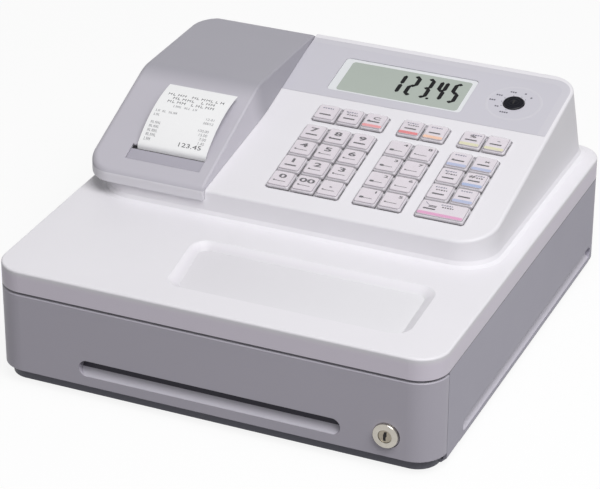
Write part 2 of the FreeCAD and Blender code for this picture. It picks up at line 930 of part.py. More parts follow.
def nearest_edge(shape, target):
    return min(shape.Edges, key=lambda edge: edge.CenterOfMass.distanceToPoint(target))


def rounded_cover_block():
    """Outer block of the cover; the rounding runs on from its front edge along the smooth edges."""
    block = cover_block(0, False)
    left, right = cover_left + cover_front_corner, cover_right - cover_right_bevel
    lip_edge = nearest_edge(block, point((left + right) / 2, cover_front, cover_line(cover_front, 0)))
    return block.makeFillet(cover_side_round, [lip_edge])


def slope_strip(y0, y1, top, bottom, x0, x1):
    """Block under the cover's sloping face between two depths."""
    corners = [
        (y0, cover_line(y0, top)), (y1, cover_line(y1, top)),
        (y1, cover_line(y1, bottom)), (y0, cover_line(y0, bottom)),
    ]
    return prism(corners, [0] * 4, upright(x0), point(x1 - x0, 0, 0))


def tear_teeth():
    """Serrated edge along the rear of the slot."""
    rear = slot_front + slot_width
    count = int((slot_right - slot_left) / tooth_pitch)
    corners = [(slot_left, rear + overrun), (slot_left, rear)]
    for index in range(count):
        start = slot_left + index * tooth_pitch
        corners += [(start + tooth_pitch / 2, rear - tooth_length), (start + tooth_pitch, rear)]
    corners += [(slot_left + count * tooth_pitch, rear + overrun)]
    top = cover_line(rear, 0)
    wire = Part.makePolygon([point(x, y, top - tooth_thickness) for x, y in corners + corners[:1]])
    return Part.Face(wire).extrude(point(0, 0, tooth_thickness))


def hinge_ear(x, pin_direction):
    """Ear under the cover with its stub pin."""
    radius = hinge_ear_radius
    start = point(x, hinge_y, hinge_z)
    end = point(x - pin_direction * hinge_ear_thickness, hinge_y, hinge_z)
    tip = point(x + pin_direction * hinge_pin_length, hinge_y, hinge_z)
    neck = box(
        min(start.x, end.x), max(start.x, end.x), hinge_y - radius, hinge_y + radius,
        hinge_z, cover_top - cover_wall / 2,
    )
    return [rod(radius, start, end), neck, rod(hinge_pin_radius, end, tip)]


def make_printer_cover():
    cover = rounded_cover_block().cut(cover_block(cover_wall, True))
    block_border = slot_block_border
    scoop_front = slot_front - scoop_run
    block = slope_strip(
        scoop_front - block_border, slot_front + slot_width + block_border,
        cover_wall / 2, slot_block, slot_left - block_border, slot_right + block_border,
    )
    ears = hinge_ear(hinge_left, 1) + hinge_ear(hinge_right, -1)
    cover = joined([cover, block] + ears)
    slot_box = box(slot_left, slot_right, slot_front, slot_front + slot_width, deck_top, cover_top)
    scoop_corners = [
        (scoop_front, cover_line(scoop_front, 0)),
        (scoop_front, cover_line(scoop_front, -overrun)),
        (slot_front + slot_width, cover_line(slot_front + slot_width, -overrun)),
        (slot_front + slot_width, cover_line(slot_front, scoop_sink)),
        (slot_front, cover_line(slot_front, scoop_sink)),
    ]
    scoop = prism(scoop_corners, [0] * 5, upright(slot_left), point(slot_right - slot_left, 0, 0))
    under = box(bay_right - cover_seam / 2, far, -far, far, -far, cover_lift)
    hem = box(cover_right - 2 * cover_right_bevel, far, -far, hinge_y - 2 * barrel_radius, -far, -cover_skirt)
    notches = []
    for x in lug_places():
        notches.append(box(
            x - slide_clearance, x + hinge_lug_thickness + slide_clearance,
            hinge_y, rear_face, deck_top, hinge_z + barrel_radius / 2,
        ))
    cover = cover.cut([slot_box, scoop, on_slope(under), on_slope(hem)] + notches)
    return joined([cover, tear_teeth()])


def strip_points(lift):
    """Stations along the strip's lower face, or along a face above it, as (y, z)."""
    bend = math.radians(strip_bend_angle)
    radius = strip_bend_radius
    y0 = slot_front + slot_width / 2
    z0 = cover_line(y0, 0)
    centre = (y0 + radius, z0)
    end_y = y0 + strip_end_run
    end_z = cover_line(end_y, -strip_end_lift)
    joint_y = centre[0] - radius * math.cos(bend)
    joint_z = z0 + radius * math.sin(bend)
    heading = math.pi / 2 - bend
    chord = math.atan2(end_z - joint_z, end_y - joint_y)
    half_turn = heading - chord
    large = math.dist((joint_y, joint_z), (end_y, end_z)) / (2 * math.sin(half_turn))
    middle = (joint_y + large * math.sin(heading), joint_z - large * math.cos(heading))
    stations = [(y0 - lift, cover_line(y0, strip_start_drop)), (y0 - lift, z0)]
    for turn in (bend / 2, bend):
        reach = radius + lift
        stations.append((centre[0] - reach * math.cos(turn), centre[1] + reach * math.sin(turn)))
    for turn in (half_turn, 2 * half_turn):
        direction, reach = heading + math.pi / 2 - turn, large + lift
        stations.append((middle[0] + reach * math.cos(direction), middle[1] + reach * math.sin(direction)))
    return [point(strip_left, y, z) for y, z in stations]


def make_receipt_strip():
    """Printed strip that leaves the slot, bends back and arches over the cover."""
    edges = []
    faces = [strip_points(0), strip_points(paper_thickness)]
    for start, neck, bend, joint, crown, end in faces:
        edges += [Part.makeLine(start, neck), Part.Arc(neck, bend, joint).toShape()]
        edges.append(Part.Arc(joint, crown, end).toShape())
    for index in (0, -1):
        edges.append(Part.makeLine(faces[0][index], faces[1][index]))
    outline = Part.Wire(Part.__sortEdges__(edges))
    return Part.Face(outline).extrude(point(paper_width, 0, 0))


def gear(teeth, x, y, z, turn):
    """Spur gear across X with involute flanks, one tooth space turned to an angle."""
    pitch = gear_module * teeth / 2
    base = pitch * math.cos(math.radians(pressure_angle))
    tip = pitch + gear_module * gear_addendum_share
    root = pitch - gear_module * gear_dedendum_share
    spread = lambda radius: math.tan(math.acos(base / radius)) - math.acos(base / radius)
    half_pitch_tooth = math.pi / (2 * teeth) - gear_backlash / (2 * pitch) + spread(pitch)
    low = max(base, root)
    steps = 1
    radii = [low + (tip - low) * step / steps for step in range(steps + 1)]
    flank = [(radius, half_pitch_tooth - spread(radius)) for radius in radii]
    profile = [(root, flank[0][1])] * (root < low) + flank
    corners = []
    for tooth in range(teeth):
        middle = math.radians(turn) + 2 * math.pi * tooth / teeth
        for radius, half in profile:
            corners.append((y + radius * math.cos(middle - half), z + radius * math.sin(middle - half)))
        for radius, half in reversed(profile):
            corners.append((y + radius * math.cos(middle + half), z + radius * math.sin(middle + half)))
    wire = Part.makePolygon([point(x, a, b) for a, b in corners + corners[:1]])
    return Part.Face(wire).extrude(point(-gear_width, 0, 0))


def platen_centre(x):
    return point(x, platen_y, platen_z)


def feed_centre(x):
    reach = gear_module * (platen_teeth + feed_teeth) / 2
    angle = math.radians(feed_angle)
    return point(x, platen_y + reach * math.cos(angle), platen_z + reach * math.sin(angle))


def make_platen_roller():
    gear_x = plate_left - frame_plate - gear_gap
    roller = rod(platen_radius, platen_centre(strip_left), platen_centre(strip_left + paper_width))
    shaft = rod(platen_journal_radius, platen_centre(gear_x), platen_centre(plate_right + frame_plate))
    return joined([roller, shaft, gear(platen_teeth, gear_x, platen_y, platen_z, feed_angle)])


def make_feed_gear():
    gear_x = plate_left - frame_plate - gear_gap
    centre = feed_centre(gear_x)
    half_tooth = 180 / feed_teeth
    wheel = gear(feed_teeth, gear_x, centre.y, centre.z, feed_angle + 180 + half_tooth)
    shaft = rod(feed_shaft_radius, feed_centre(gear_x), feed_centre(plate_left + gear_gap))
    return joined([wheel, shaft])


def make_print_head():
    face = platen_y - platen_radius - slide_clearance
    low = platen_z - head_drop
    return box(plate_left, plate_right, face - head_thickness, face, low, low + head_height)


def make_paper_roll():
    left, right = point(strip_left, roll_y, roll_z), point(strip_left + paper_width, roll_y, roll_z)
    return rod(roll_radius, left, right).cut(rod(roll_core_radius, left, right))


def make_printer_frame():
    left, right = plate_left - frame_plate, plate_right + frame_plate
    base_z = housing_top + frame_base
    top = platen_z + platen_radius
    rear_top = roll_z + roll_core_radius
    sides_outline = [
        (frame_front, housing_top), (frame_front, top - 2 * platen_radius),
        (platen_y - platen_radius, top), (platen_y + 2 * platen_radius, top),
        (roll_y - roll_radius, platen_z - platen_radius), (frame_rear, rear_top), (frame_rear, housing_top),
    ]
    pieces = [box(left, right, frame_front, frame_rear, housing_top, base_z)]
    for x in (left, plate_right):
        pieces.append(prism(sides_outline, [0] * 7, upright(x), point(frame_plate, 0, 0)))
    saddle_y0, saddle_y1 = roll_y - saddle_half_depth, roll_y + saddle_half_depth
    pieces.append(box(left, right, saddle_y0, saddle_y1, base_z - overrun, base_z + saddle_height))
    frame = joined(pieces)
    roll_room = roll_radius + slide_clearance
    cutters = [
        rod(roll_room, point(plate_left, roll_y, roll_z), point(plate_right, roll_y, roll_z)),
        rod(platen_journal_radius + running_clearance, platen_centre(left - overrun),
            platen_centre(right + overrun)),
        rod(feed_shaft_radius + running_clearance, feed_centre(left - overrun),
            feed_centre(plate_left + overrun)),
    ]
    return frame.cut(cutters)


def make_drawer_housing():
    rear_corners = [0, 0, case_corner, case_corner]
    plan = rectangle(-side_face, side_face, housing_front, rear_face)
    height = housing_top - base_bottom
    body = prism(plan, rear_corners, flat(base_bottom), point(0, 0, height))
    bottom_edges = [
        e for e in body.Edges
        if all(v.Z < base_bottom + overrun / 2 for v in e.Vertexes) and e.CenterOfMass.y > housing_front + overrun
    ]
    body = body.makeChamfer(base_chamfer, bottom_edges)
    inner = rectangle(-side_face + wall, side_face - wall, housing_front - overrun, rear_face - wall)
    inner_corners = [0, 0, case_corner - wall, case_corner - wall]
    hollow = prism(inner, inner_corners, flat(base_top), point(0, 0, ceiling_bottom - base_top))
    pieces = [body.cut(hollow)]
    base_front = front_face + base_lip_setback
    lip_radius = case_corner - base_lip_inset
    lip_plan = rectangle(
        -side_face + base_lip_inset, side_face - base_lip_inset, base_front, housing_front + wall
    )
    lip_place = flat(base_bottom)
    lip = prism(lip_plan, [lip_radius, lip_radius, 0, 0], lip_place, point(0, 0, base_lip_height))
    room_plan = rectangle(
        -side_face + base_lip_inset + wall, side_face - base_lip_inset - wall, base_front + wall,
        housing_front + wall + overrun,
    )
    room_radius = lip_radius - wall
    lip_room = prism(
        room_plan, [room_radius, room_radius, 0, 0], flat(base_top), point(0, 0, base_lip_height)
    )
    pieces.append(lip.cut(lip_room))
    groove_y0, groove_y1 = housing_front + groove_front_margin, rear_face - groove_rear_margin
    groove_z0 = base_bottom + groove_bottom
    groove_z1 = groove_z0 + groove_height
    backing = groove_depth + groove_backing
    for side in (-1, 1):
        inner_x, outer_x = side * (side_face - backing), side * (side_face - wall / 2)
        pieces.append(box(
            min(inner_x, outer_x), max(inner_x, outer_x), groove_y0 - wall, groove_y1 + wall,
            base_bottom + wall / 2, groove_z1 + wall,
        ))
        for x in (side * rail_offset - rail_width / 2,):
            pieces.append(box(
                x, x + rail_width, housing_front, rear_face - 2 * wall, base_top - wall / 2,
                tray_bottom - slide_clearance,
            ))
        lug_x = tongue_offset + side * (latch_width / 2 + slide_clearance)
        x0, x1 = sorted((lug_x, lug_x + side * latch_lug_thickness))
        axis_y, axis_z = latch_axis()
        reach = latch_hub_radius
        pieces.append(box(
            x0, x1, axis_y - reach, rear_face - wall / 2, axis_z - reach, axis_z + reach
        ))
    housing = joined(pieces)
    cutters = []
    for side in (-1, 1):
        x = side * (side_face - groove_depth)
        corners = rectangle(groove_y0, groove_y1, groove_z0, groove_z1)
        reach = point(side * (groove_depth + overrun), 0, 0)
        radius = groove_height / 2 - running_clearance
        cutters.append(prism(corners, [radius] * 4, upright(x), reach))
    axis_y, axis_z = latch_axis()
    pin_hole = latch_pin_radius + running_clearance
    span = latch_width + 2 * latch_lug_thickness
    cutters.append(rod(
        pin_hole, point(tongue_offset - span, axis_y, axis_z), point(tongue_offset + span, axis_y, axis_z)
    ))
    bush_z = base_bottom + bush_rise
    cutters.append(rod(
        bush_radius + running_clearance, point(bush_x, rear_face - 2 * wall, bush_z),
        point(bush_x, rear_face + overrun, bush_z),
    ))
    for x, y in case_boss_places():
        low, high = point(x, y, ceiling_bottom - overrun), point(x, y, housing_top + overrun)
        cutters.append(rod(screw_radius + running_clearance, low, high))
    return housing.cut(cutters)


def latch_axis():
    return rear_face - wall - latch_axis_setback, tongue_level() - latch_drop


def tongue_level():
    return tray_bottom + tongue_height


def tongue_window_y():
    return tray_rear + tongue_length - tongue_window_length / 2 - tongue_thickness / 2


def make_drawer_latch():
    """Catch lever behind the drawer, shown let go."""
    axis_y, axis_z = latch_axis()
    x0, x1 = tongue_offset - latch_width / 2, tongue_offset + latch_width / 2
    tip_y = tongue_window_y() - latch_tip_lead
    tip_y0, tip_y1 = tip_y - latch_tip_length / 2, tip_y + latch_tip_length / 2
    tip_top = tongue_level() - latch_tip_gap
    pin_reach = latch_lug_thickness
    pieces = [
        rod(latch_hub_radius, point(x0, axis_y, axis_z), point(x1, axis_y, axis_z)),
        rod(latch_pin_radius, point(x0 - pin_reach, axis_y, axis_z), point(x1 + pin_reach, axis_y, axis_z)),
        box(x0, x1, tip_y0, axis_y, axis_z - latch_arm_height / 2, axis_z + latch_arm_height / 2),
        box(x0, x1, tip_y0, tip_y1, axis_z - latch_arm_height / 2, tip_top),
    ]
    return joined(pieces)


def make_drawer_front():
    """Front moulding that wraps both corners, with the long grip."""
    low = base_bottom + base_lip_height + front_bottom_gap
    high = housing_top - seam_gap
    rear = housing_front - front_return_gap
    outer = case_prism(0, low, high).common(box(-far, far, -far, rear, low, high))
    front_edge = nearest_edge(outer, point(0, front_face, high))
    outer = outer.makeChamfer(front_edge_bevel, [front_edge])
    front = outer.cut(case_prism(wall, low - overrun, high - wall))
    z0 = foot_height + grip_bottom
    z1 = z0 + grip_height
    back = front_face + grip_depth + grip_wall
    backing = box(
        grip_left - grip_wall, grip_right + grip_wall, front_face + wall / 2, back,
        z0 - grip_wall, z1 + grip_undercut + grip_wall,
    )
    pieces = [front, backing]
    for x in (-post_offset_outer, -post_offset_inner, post_offset_inner, post_offset_outer):
        z = base_bottom + post_rise
        pieces.append(rod(post_radius, point(x, front_face + wall / 2, z), point(x, tray_front, z)))
    lock_pad = lock_barrel_radius + running_clearance + wall
    pieces.append(rod(
        lock_pad, point(lock_x, front_face + wall / 2, lock_z), point(lock_x, front_face + 2 * wall, lock_z)
    ))
    front = joined(pieces)
    mouth = prism(
        rectangle(grip_left, grip_right, z0, z1), [grip_height / 2 - running_clearance] * 4,
        lambda a, b: point(a, front_face - overrun, b), point(0, grip_depth + overrun, 0),
    )
    undercut = box(
        grip_left + grip_height / 2, grip_right - grip_height / 2,
        front_face + wall, front_face + grip_depth, z0 + grip_height / 2, z1 + grip_undercut,
    )
    lock_hole = rod(
        lock_barrel_radius + running_clearance, point(lock_x, front_face - overrun, lock_z),
        point(lock_x, front_face + far / 10, lock_z),
    )
    return front.cut([mouth, undercut, lock_hole])


def make_lock_barrel():
    face = front_face - lock_ring_height
    ring = rod(lock_ring_radius, point(lock_x, face, lock_z), point(lock_x, front_face, lock_z))
    ring = ring.makeChamfer(lock_ring_bevel, [nearest_edge(ring, point(lock_x, face, lock_z))])
    body_end = front_face + lock_barrel_length
    body = rod(lock_barrel_radius, point(lock_x, front_face, lock_z), point(lock_x, body_end, lock_z))
    bore = rod(
        plug_radius + running_clearance, point(lock_x, face - overrun, lock_z),
        point(lock_x, body_end + overrun, lock_z),
    )
    return joined([ring, body]).cut(bore)


def make_lock_plug():
    """Key plug with its cam, shown unlocked."""
    face = front_face - lock_ring_height + plug_recess
    cam_front = front_face + lock_barrel_length + slide_clearance
    plug = rod(plug_radius, point(lock_x, face, lock_z), point(lock_x, cam_front + cam_thickness, lock_z))
    cam_low = lock_z - cam_width / 2
    cam = slab(
        -cam_width / 2, cam_length, -cam_width / 2, cam_width / 2, 0, cam_thickness, cam_width / 2 - overrun
    )
    cam.rotate(point(0, 0, 0), point(1, 0, 0), -90)
    cam.rotate(point(0, 0, 0), point(0, 1, 0), 180)
    cam.translate(point(lock_x, cam_front, lock_z))
    half_w, half_h = key_slot_width / 2, key_slot_height / 2
    slot = box(
        lock_x - half_w, lock_x + half_w, face - overrun, face + key_slot_depth, lock_z - half_h, lock_z + half_h
    )
    return joined([plug, cam]).cut(slot)


def bay_places():
    """Left edges and width of the bill bays."""
    width = (2 * tray_half - 2 * tray_wall - (bill_bays - 1) * tray_divider) / bill_bays
    first = -tray_half + tray_wall
    return [first + index * (width + tray_divider) for index in range(bill_bays)], width


def make_drawer_tray():
    tray = box(-tray_half, tray_half, tray_front, tray_rear, tray_bottom, tray_top)
    floor = tray_bottom + tray_wall
    lefts, width = bay_places()
    front_room = box(
        -tray_half + tray_wall, tray_half - tray_wall, tray_front + tray_wall, bay_front - tray_divider,
        floor, tray_top + overrun,
    )
    rooms = [front_room]
    for left in lefts:
        rooms.append(box(left, left + width, bay_front, tray_rear - tray_wall, floor, tray_top + overrun))
    tray = tray.cut(rooms)
    pieces = [tray]
    cutters = []
    for left in lefts:
        middle = left + width / 2
        for side in (-1, 1):
            inner = middle + side * (clip_width / 2 + slide_clearance)
            x0, x1 = sorted((inner, inner + side * clip_lug_thickness))
            pieces.append(box(
                x0, x1, clip_axis_y - clip_hub_radius, tray_rear - tray_wall / 2,
                clip_axis_z - clip_hub_radius, clip_axis_z + clip_hub_radius,
            ))
        reach = clip_width / 2 + clip_pin_length
        cutters.append(rod(
            clip_pin_radius + running_clearance, point(middle - reach, clip_axis_y, clip_axis_z),
            point(middle + reach, clip_axis_y, clip_axis_z),
        ))
    tongue_x0, tongue_x1 = tongue_offset - tongue_width / 2, tongue_offset + tongue_width / 2
    level = tongue_level()
    pieces.append(box(
        tongue_x0, tongue_x1, tray_rear - tray_wall / 2, tray_rear + tongue_length, level,
        level + tongue_thickness,
    ))
    window_y = tongue_window_y()
    half_w, half_l = tongue_window_width / 2, tongue_window_length / 2
    cutters.append(box(
        tongue_offset - half_w, tongue_offset + half_w, window_y - half_l, window_y + half_l,
        level - overrun, level + tongue_thickness + overrun,
    ))
    return joined(pieces).cut(cutters)


def make_bill_clip(index):
    """Sprung lever that holds notes down at the rear of a bay."""
    lefts, width = bay_places()
    middle = lefts[index] + width / 2
    x0 = middle - clip_width / 2
    floor = tray_bottom + tray_wall + slide_clearance
    drop = clip_axis_z - floor - clip_thickness
    tip_y = clip_axis_y - clip_reach
    pin = clip_width / 2 + clip_lug_thickness
    corners = [
        (clip_axis_y, clip_axis_z - clip_hub_radius), (clip_axis_y, clip_axis_z + clip_hub_radius),
        (clip_axis_y - clip_hub_radius, clip_axis_z + clip_hub_radius / 2),
        (tip_y + clip_tip_length, clip_axis_z - drop + clip_thickness), (tip_y, clip_axis_z - drop + clip_thickness),
        (tip_y, clip_axis_z - drop), (tip_y + clip_tip_length, clip_axis_z - drop),
    ]
    arm = prism(corners, [0] * 7, upright(x0), point(clip_width, 0, 0))
    hub = rod(
        clip_hub_radius, point(x0, clip_axis_y, clip_axis_z), point(x0 + clip_width, clip_axis_y, clip_axis_z)
    )
    pins = rod(
        clip_pin_radius, point(middle - pin, clip_axis_y, clip_axis_z), point(middle + pin, clip_axis_y, clip_axis_z)
    )
    return joined([arm, hub, pins])


def make_coin_tray():
    """Lift-out insert with scooped cups."""
    gap = coin_rim_gap
    x0, x1 = -tray_half + tray_wall + gap, tray_half - tray_wall - gap
    y0, y1 = tray_front + tray_wall + gap, bay_front - tray_divider - gap
    z0 = tray_bottom + tray_wall
    z1 = z0 + coin_height
    tray = box(x0, x1, y0, y1, z0, z1)
    width = (x1 - x0 - (coin_columns + 1) * coin_wall) / coin_columns
    depth = (y1 - y0 - (coin_rows + 1) * coin_wall) / coin_rows
    cups = []
    for row in range(coin_rows):
        front = y0 + coin_wall + row * (depth + coin_wall)
        for column in range(coin_columns):
            left = x0 + coin_wall + column * (width + coin_wall)
            corners = rectangle(front, front + depth, z0 + coin_floor, z1 + overrun)
            radii = [coin_scoop, coin_scoop / 2, 0, 0]
            cups.append(prism(corners, radii, upright(left), point(width, 0, 0)))
    return tray.cut(cups)


def make_cord_bush():
    z = base_bottom + bush_rise
    flange = rod(bush_flange_radius, point(bush_x, rear_face, z), point(bush_x, rear_face + bush_flange, z))
    body = rod(bush_radius, point(bush_x, rear_face + bush_flange - bush_length, z), point(bush_x, rear_face, z))
    bore = rod(
        bush_bore_radius, point(bush_x, rear_face - bush_length, z), point(bush_x, rear_face + 2 * bush_flange, z)
    )
    return joined([flange, body]).cut(bore)


def make_rubber_feet():
    feet = []
    for side in (-1, 1):
        x = side * (side_face - foot_inset_side)
        for y in (front_face + foot_inset_front, rear_face - foot_inset_rear):
            foot = rod(foot_radius, point(x, y, 0), point(x, y, foot_height))
            feet.append(foot.makeChamfer(foot_edge, [nearest_edge(foot, point(x, y, 0))]))
    return Part.makeCompound(feet)


def make_case_screws():
    screws = []
    for x, y in case_boss_places():
        under = ceiling_bottom
        head = octagon_bar(screw_head_radius, point(x, y, under - screw_head_height), point(x, y, under))
        shank = octagon_bar(screw_radius, point(x, y, under - overrun), point(x, y, under + screw_length))
        screws.append(joined([head, shank]))
    return Part.makeCompound(screws)


PIECES = {
    "drawer_housing": make_drawer_housing,
    "top_case": make_top_case,
    "display_panel": make_display_panel,
    "lcd_module": make_lcd_module,
    "mode_rotor": make_mode_rotor,
    "key_mat": make_key_mat,
    "main_board": make_main_board,
    "printer_cover": make_printer_cover,
    "receipt_paper": make_receipt_strip,
    "printer_frame": make_printer_frame,
    "platen_roller": make_platen_roller,
    "feed_gear": make_feed_gear,
    "print_head": make_print_head,
    "paper_roll": make_paper_roll,
    "drawer_front": make_drawer_front,
    "lock_barrel": make_lock_barrel,
    "lock_plug": make_lock_plug,
    "drawer_tray": make_drawer_tray,
    "coin_tray": make_coin_tray,
    "bill_clip_1": lambda: make_bill_clip(0),
    "bill_clip_2": lambda: make_bill_clip(1),
    "bill_clip_3": lambda: make_bill_clip(2),
    "drawer_latch": make_drawer_latch,
    "rubber_feet": make_rubber_feet,
    "case_screws": make_case_screws,
    "cord_bush": make_cord_bush,
}


def main():
    os.makedirs("parts", exist_ok=True)
    for name, make in PIECES.items():
        make().exportStep(f"parts/{name}.step")
    for name, left, front, width in key_cells():
        make_key(left, front, width).exportStep(f"parts/{name}.step")


if __name__ == "__main__":
    main()
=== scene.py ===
"""Looks of a ticket register with a cash drawer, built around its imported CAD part."""

import logging
import math
from dataclasses import dataclass, field
from enum import Enum
from typing import Any, Callable, Iterable, Sequence, Union

import bpy
from mathutils import Matrix, Vector
from mathutils.bvhtree import BVHTree


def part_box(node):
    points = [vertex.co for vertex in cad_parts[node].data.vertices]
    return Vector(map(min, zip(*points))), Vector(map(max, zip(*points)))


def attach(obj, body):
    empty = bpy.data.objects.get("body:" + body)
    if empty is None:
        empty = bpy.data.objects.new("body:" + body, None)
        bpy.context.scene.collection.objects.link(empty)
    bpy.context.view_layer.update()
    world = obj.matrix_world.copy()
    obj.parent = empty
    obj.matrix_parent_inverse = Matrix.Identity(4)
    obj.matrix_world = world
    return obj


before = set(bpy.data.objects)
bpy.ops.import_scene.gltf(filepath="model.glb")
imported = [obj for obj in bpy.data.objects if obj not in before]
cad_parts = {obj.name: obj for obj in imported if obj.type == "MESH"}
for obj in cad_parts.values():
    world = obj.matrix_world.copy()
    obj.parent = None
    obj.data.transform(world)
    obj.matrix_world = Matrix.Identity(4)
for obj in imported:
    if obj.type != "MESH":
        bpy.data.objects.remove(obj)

log = logging.getLogger("ticket_register")

MM = 0.001
CAPITAL = 0.7  # height of a capital, as a share of the font's size
LOW_SIGN = 0.4  # signs lower than this keep their place over the base line
CORNER_PULL = 1.3  # how far a bevel draws a corner in, as a share of its width
Colour = tuple[float, float, float]
Flat = tuple[float, float]
Sides = tuple[float, float, float, float]
Placer = Callable[[float, float, float], Vector]


def linear(colour: Colour) -> tuple[float, float, float, float]:
    """Turns a screen colour of 0 to 255 into the linear colour of a shader.

    Args:
        colour: Red, green and blue from 0 to 255.

    Returns:
        Linear red, green and blue with an alpha of one.
    """
    shares = [value / 255 for value in colour]
    steps = [s / 12.92 if s <= 0.04045 else ((s + 0.055) / 1.055) ** 2.4 for s in shares]
    return (steps[0], steps[1], steps[2], 1.0)


def toned(colour: Colour, share: float) -> Colour:
    """Gives a screen colour made lighter or darker by a share."""
    return tuple(min(255.0, value * share) for value in colour)


class Slot(Enum):
    """Material slots of the record, one named for each new piece."""

    PANEL = "panel_lavender"
    GLASS = "display_glass"
    SWITCH = "switch_black"
    PAPER = "paper"
    COVER = "cover_grey"
    DRAWER = "drawer_grey"
    LOCK = "lock_steel"
    HOUSING = "housing_grey"


class Wire:
    """A number on its way through a material; arithmetic on it adds Math nodes."""

    def __init__(self, recipe: "Recipe", socket: bpy.types.NodeSocket) -> None:
        """Wraps one output socket."""
        self.recipe = recipe
        self.socket = socket

    def _math(self, operation: str, *terms: Union[float, "Wire"]) -> "Wire":
        """Adds one Math node.

        Args:
            operation: Name of the Math operation.
            terms: Values or wires for its sockets, in order.

        Returns:
            The result as a wire.
        """
        sockets = dict(enumerate(terms))
        return self.recipe.node("ShaderNodeMath", {"operation": operation}, sockets)

    def __add__(self, other: Union[float, "Wire"]) -> "Wire":
        """Adds."""
        return self._math("ADD", self, other)

    __radd__ = __add__

    def __sub__(self, other: Union[float, "Wire"]) -> "Wire":
        """Subtracts."""
        return self._math("SUBTRACT", self, other)

    def __rsub__(self, other: Union[float, "Wire"]) -> "Wire":
        """Subtracts from a number."""
        return self._math("SUBTRACT", other, self)

    def __mul__(self, other: Union[float, "Wire"]) -> "Wire":
        """Multiplies."""
        return self._math("MULTIPLY", self, other)

    __rmul__ = __mul__

    def root(self) -> "Wire":
        """Gives the square root."""
        return self._math("SQRT", self)

    def wave(self) -> "Wire":
        """Gives the sine."""
        return self._math("SINE", self)

    def step(self, low: float, high: float) -> "Wire":
        """Rises smoothly from zero to one between two values."""
        settings = {"interpolation_type": "SMOOTHSTEP", "clamp": True}
        sockets = {0: self, 1: low, 2: high, 3: 0.0, 4: 1.0}
        return self.recipe.node("ShaderNodeMapRange", settings, sockets)

    def over(self, edge: float, blur: float) -> "Wire":
        """Gives one past an edge, with a short blend on both sides of it."""
        return self.step(edge - blur, edge + blur)


class Recipe:
    """Builds the nodes of one material, or of the world."""

    def __init__(self, owner: Union[bpy.types.Material, bpy.types.World]) -> None:
        """Clears the owner's nodes."""
        owner.use_nodes = True
        self.tree = owner.node_tree
        self.tree.nodes.clear()

    def node(
        self,
        kind: str,
        settings: dict[str, Any],
        sockets: dict[Union[int, str], Any],
        output: Union[int, str] = 0,
    ) -> Wire:
        """Adds a node: its settings first, then its sockets.

        Args:
            kind: Node type.
            settings: Properties.
            sockets: Values or wires by input name or number.
            output: Output to hand on, by name or number.

        Returns:
            The chosen output.
        """
        made = self.tree.nodes.new(kind)
        for name, value in settings.items():
            setattr(made, name, value)
        for key, value in sockets.items():
            if isinstance(value, Wire):
                self.tree.links.new(value.socket, made.inputs[key])
            else:
                made.inputs[key].default_value = value
        if not made.outputs:
            return Wire(self, None)
        return Wire(self, made.outputs[output])

    def coordinates(self) -> Wire:
        """Gives the object's own coordinates, in metres."""
        return self.node("ShaderNodeTexCoord", {}, {}, "Object")

    def axis(self, name: str) -> Wire:
        """Gives one of the object's own coordinates as a number."""
        return self.node("ShaderNodeSeparateXYZ", {}, {0: self.coordinates()}, name)

    def noise(self, grain: float, detail: float = 2.0) -> Wire:
        """Gives noise whose marks are about a size in metres."""
        sockets = {"Vector": self.coordinates(), "Scale": 1 / grain, "Detail": detail}
        return self.node("ShaderNodeTexNoise", {}, sockets)

    def stretched_noise(self, grains: tuple[float, float, float], detail: float = 2.0) -> Wire:
        """Gives noise with its own mark size along each axis."""
        sockets = {0: self.coordinates(), 1: Vector([1 / grain for grain in grains])}
        moved = self.node("ShaderNodeVectorMath", {"operation": "MULTIPLY"}, sockets)
        sockets = {"Vector": moved, "Scale": 1.0, "Detail": detail}
        return self.node("ShaderNodeTexNoise", {}, sockets)

    def cells(self, grain: float) -> Wire:
        """Gives the distance to the nearest of scattered points, for pebbled moulding."""
        sockets = {"Vector": self.coordinates(), "Scale": 1 / grain, "Randomness": 1.0}
        return self.node("ShaderNodeTexVoronoi", {"feature": "F1"}, sockets, "Distance")

    def rings(self, across: str, centre: Flat, pitch: float) -> Wire:
        """Gives waves round an axis.

        Args:
            across: First coordinate; the second is Z.
            centre: Place of the axis in metres.
            pitch: Distance from ring to ring.

        Returns:
            Height from zero to one.
        """
        u, z = self.axis(across) - centre[0], self.axis("Z") - centre[1]
        return ((u * u + z * z).root() * (2 * math.pi / pitch)).wave() * 0.5 + 0.5

    def mix(self, factor: Union[float, Wire], low: Any, high: Any) -> Wire:
        """Mixes two colours."""
        settings = {"data_type": "RGBA", "blend_type": "MIX"}
        return self.node("ShaderNodeMix", settings, {0: factor, 6: low, 7: high}, 2)

    def blotches(self, mask: Wire, colour: Colour, low: float, high: float) -> Wire:
        """Mixes a darker and a lighter tone of one colour.

        Args:
            mask: Where the lighter tone lies.
            colour: The colour on a screen.
            low: Share of it in the darker tone.
            high: Share of it in the lighter tone.

        Returns:
            The mixed colour.
        """
        return self.mix(mask, linear(toned(colour, low)), linear(toned(colour, high)))

    def bump(self, height: Wire, depth: float, edge: float = 0.0) -> Wire:
        """Raises the surface by a height map, over edges rounded by a radius.

        Args:
            height: Height from zero to one.
            depth: Depth of the relief in metres.
            edge: Radius of the worn or moulded edges in metres.

        Returns:
            The normal.
        """
        sockets: dict[Union[int, str], Any] = {"Distance": depth, "Height": height}
        if edge:
            sockets["Normal"] = self.node("ShaderNodeBevel", {"samples": 4}, {"Radius": edge})
        return self.node("ShaderNodeBump", {}, sockets)

    def surface(self, sockets: dict[Union[int, str], Any]) -> Wire:
        """Ends a material with a Principled shader."""
        shader = self.node("ShaderNodeBsdfPrincipled", {}, sockets)
        return self.node("ShaderNodeOutputMaterial", {}, {"Surface": shader})


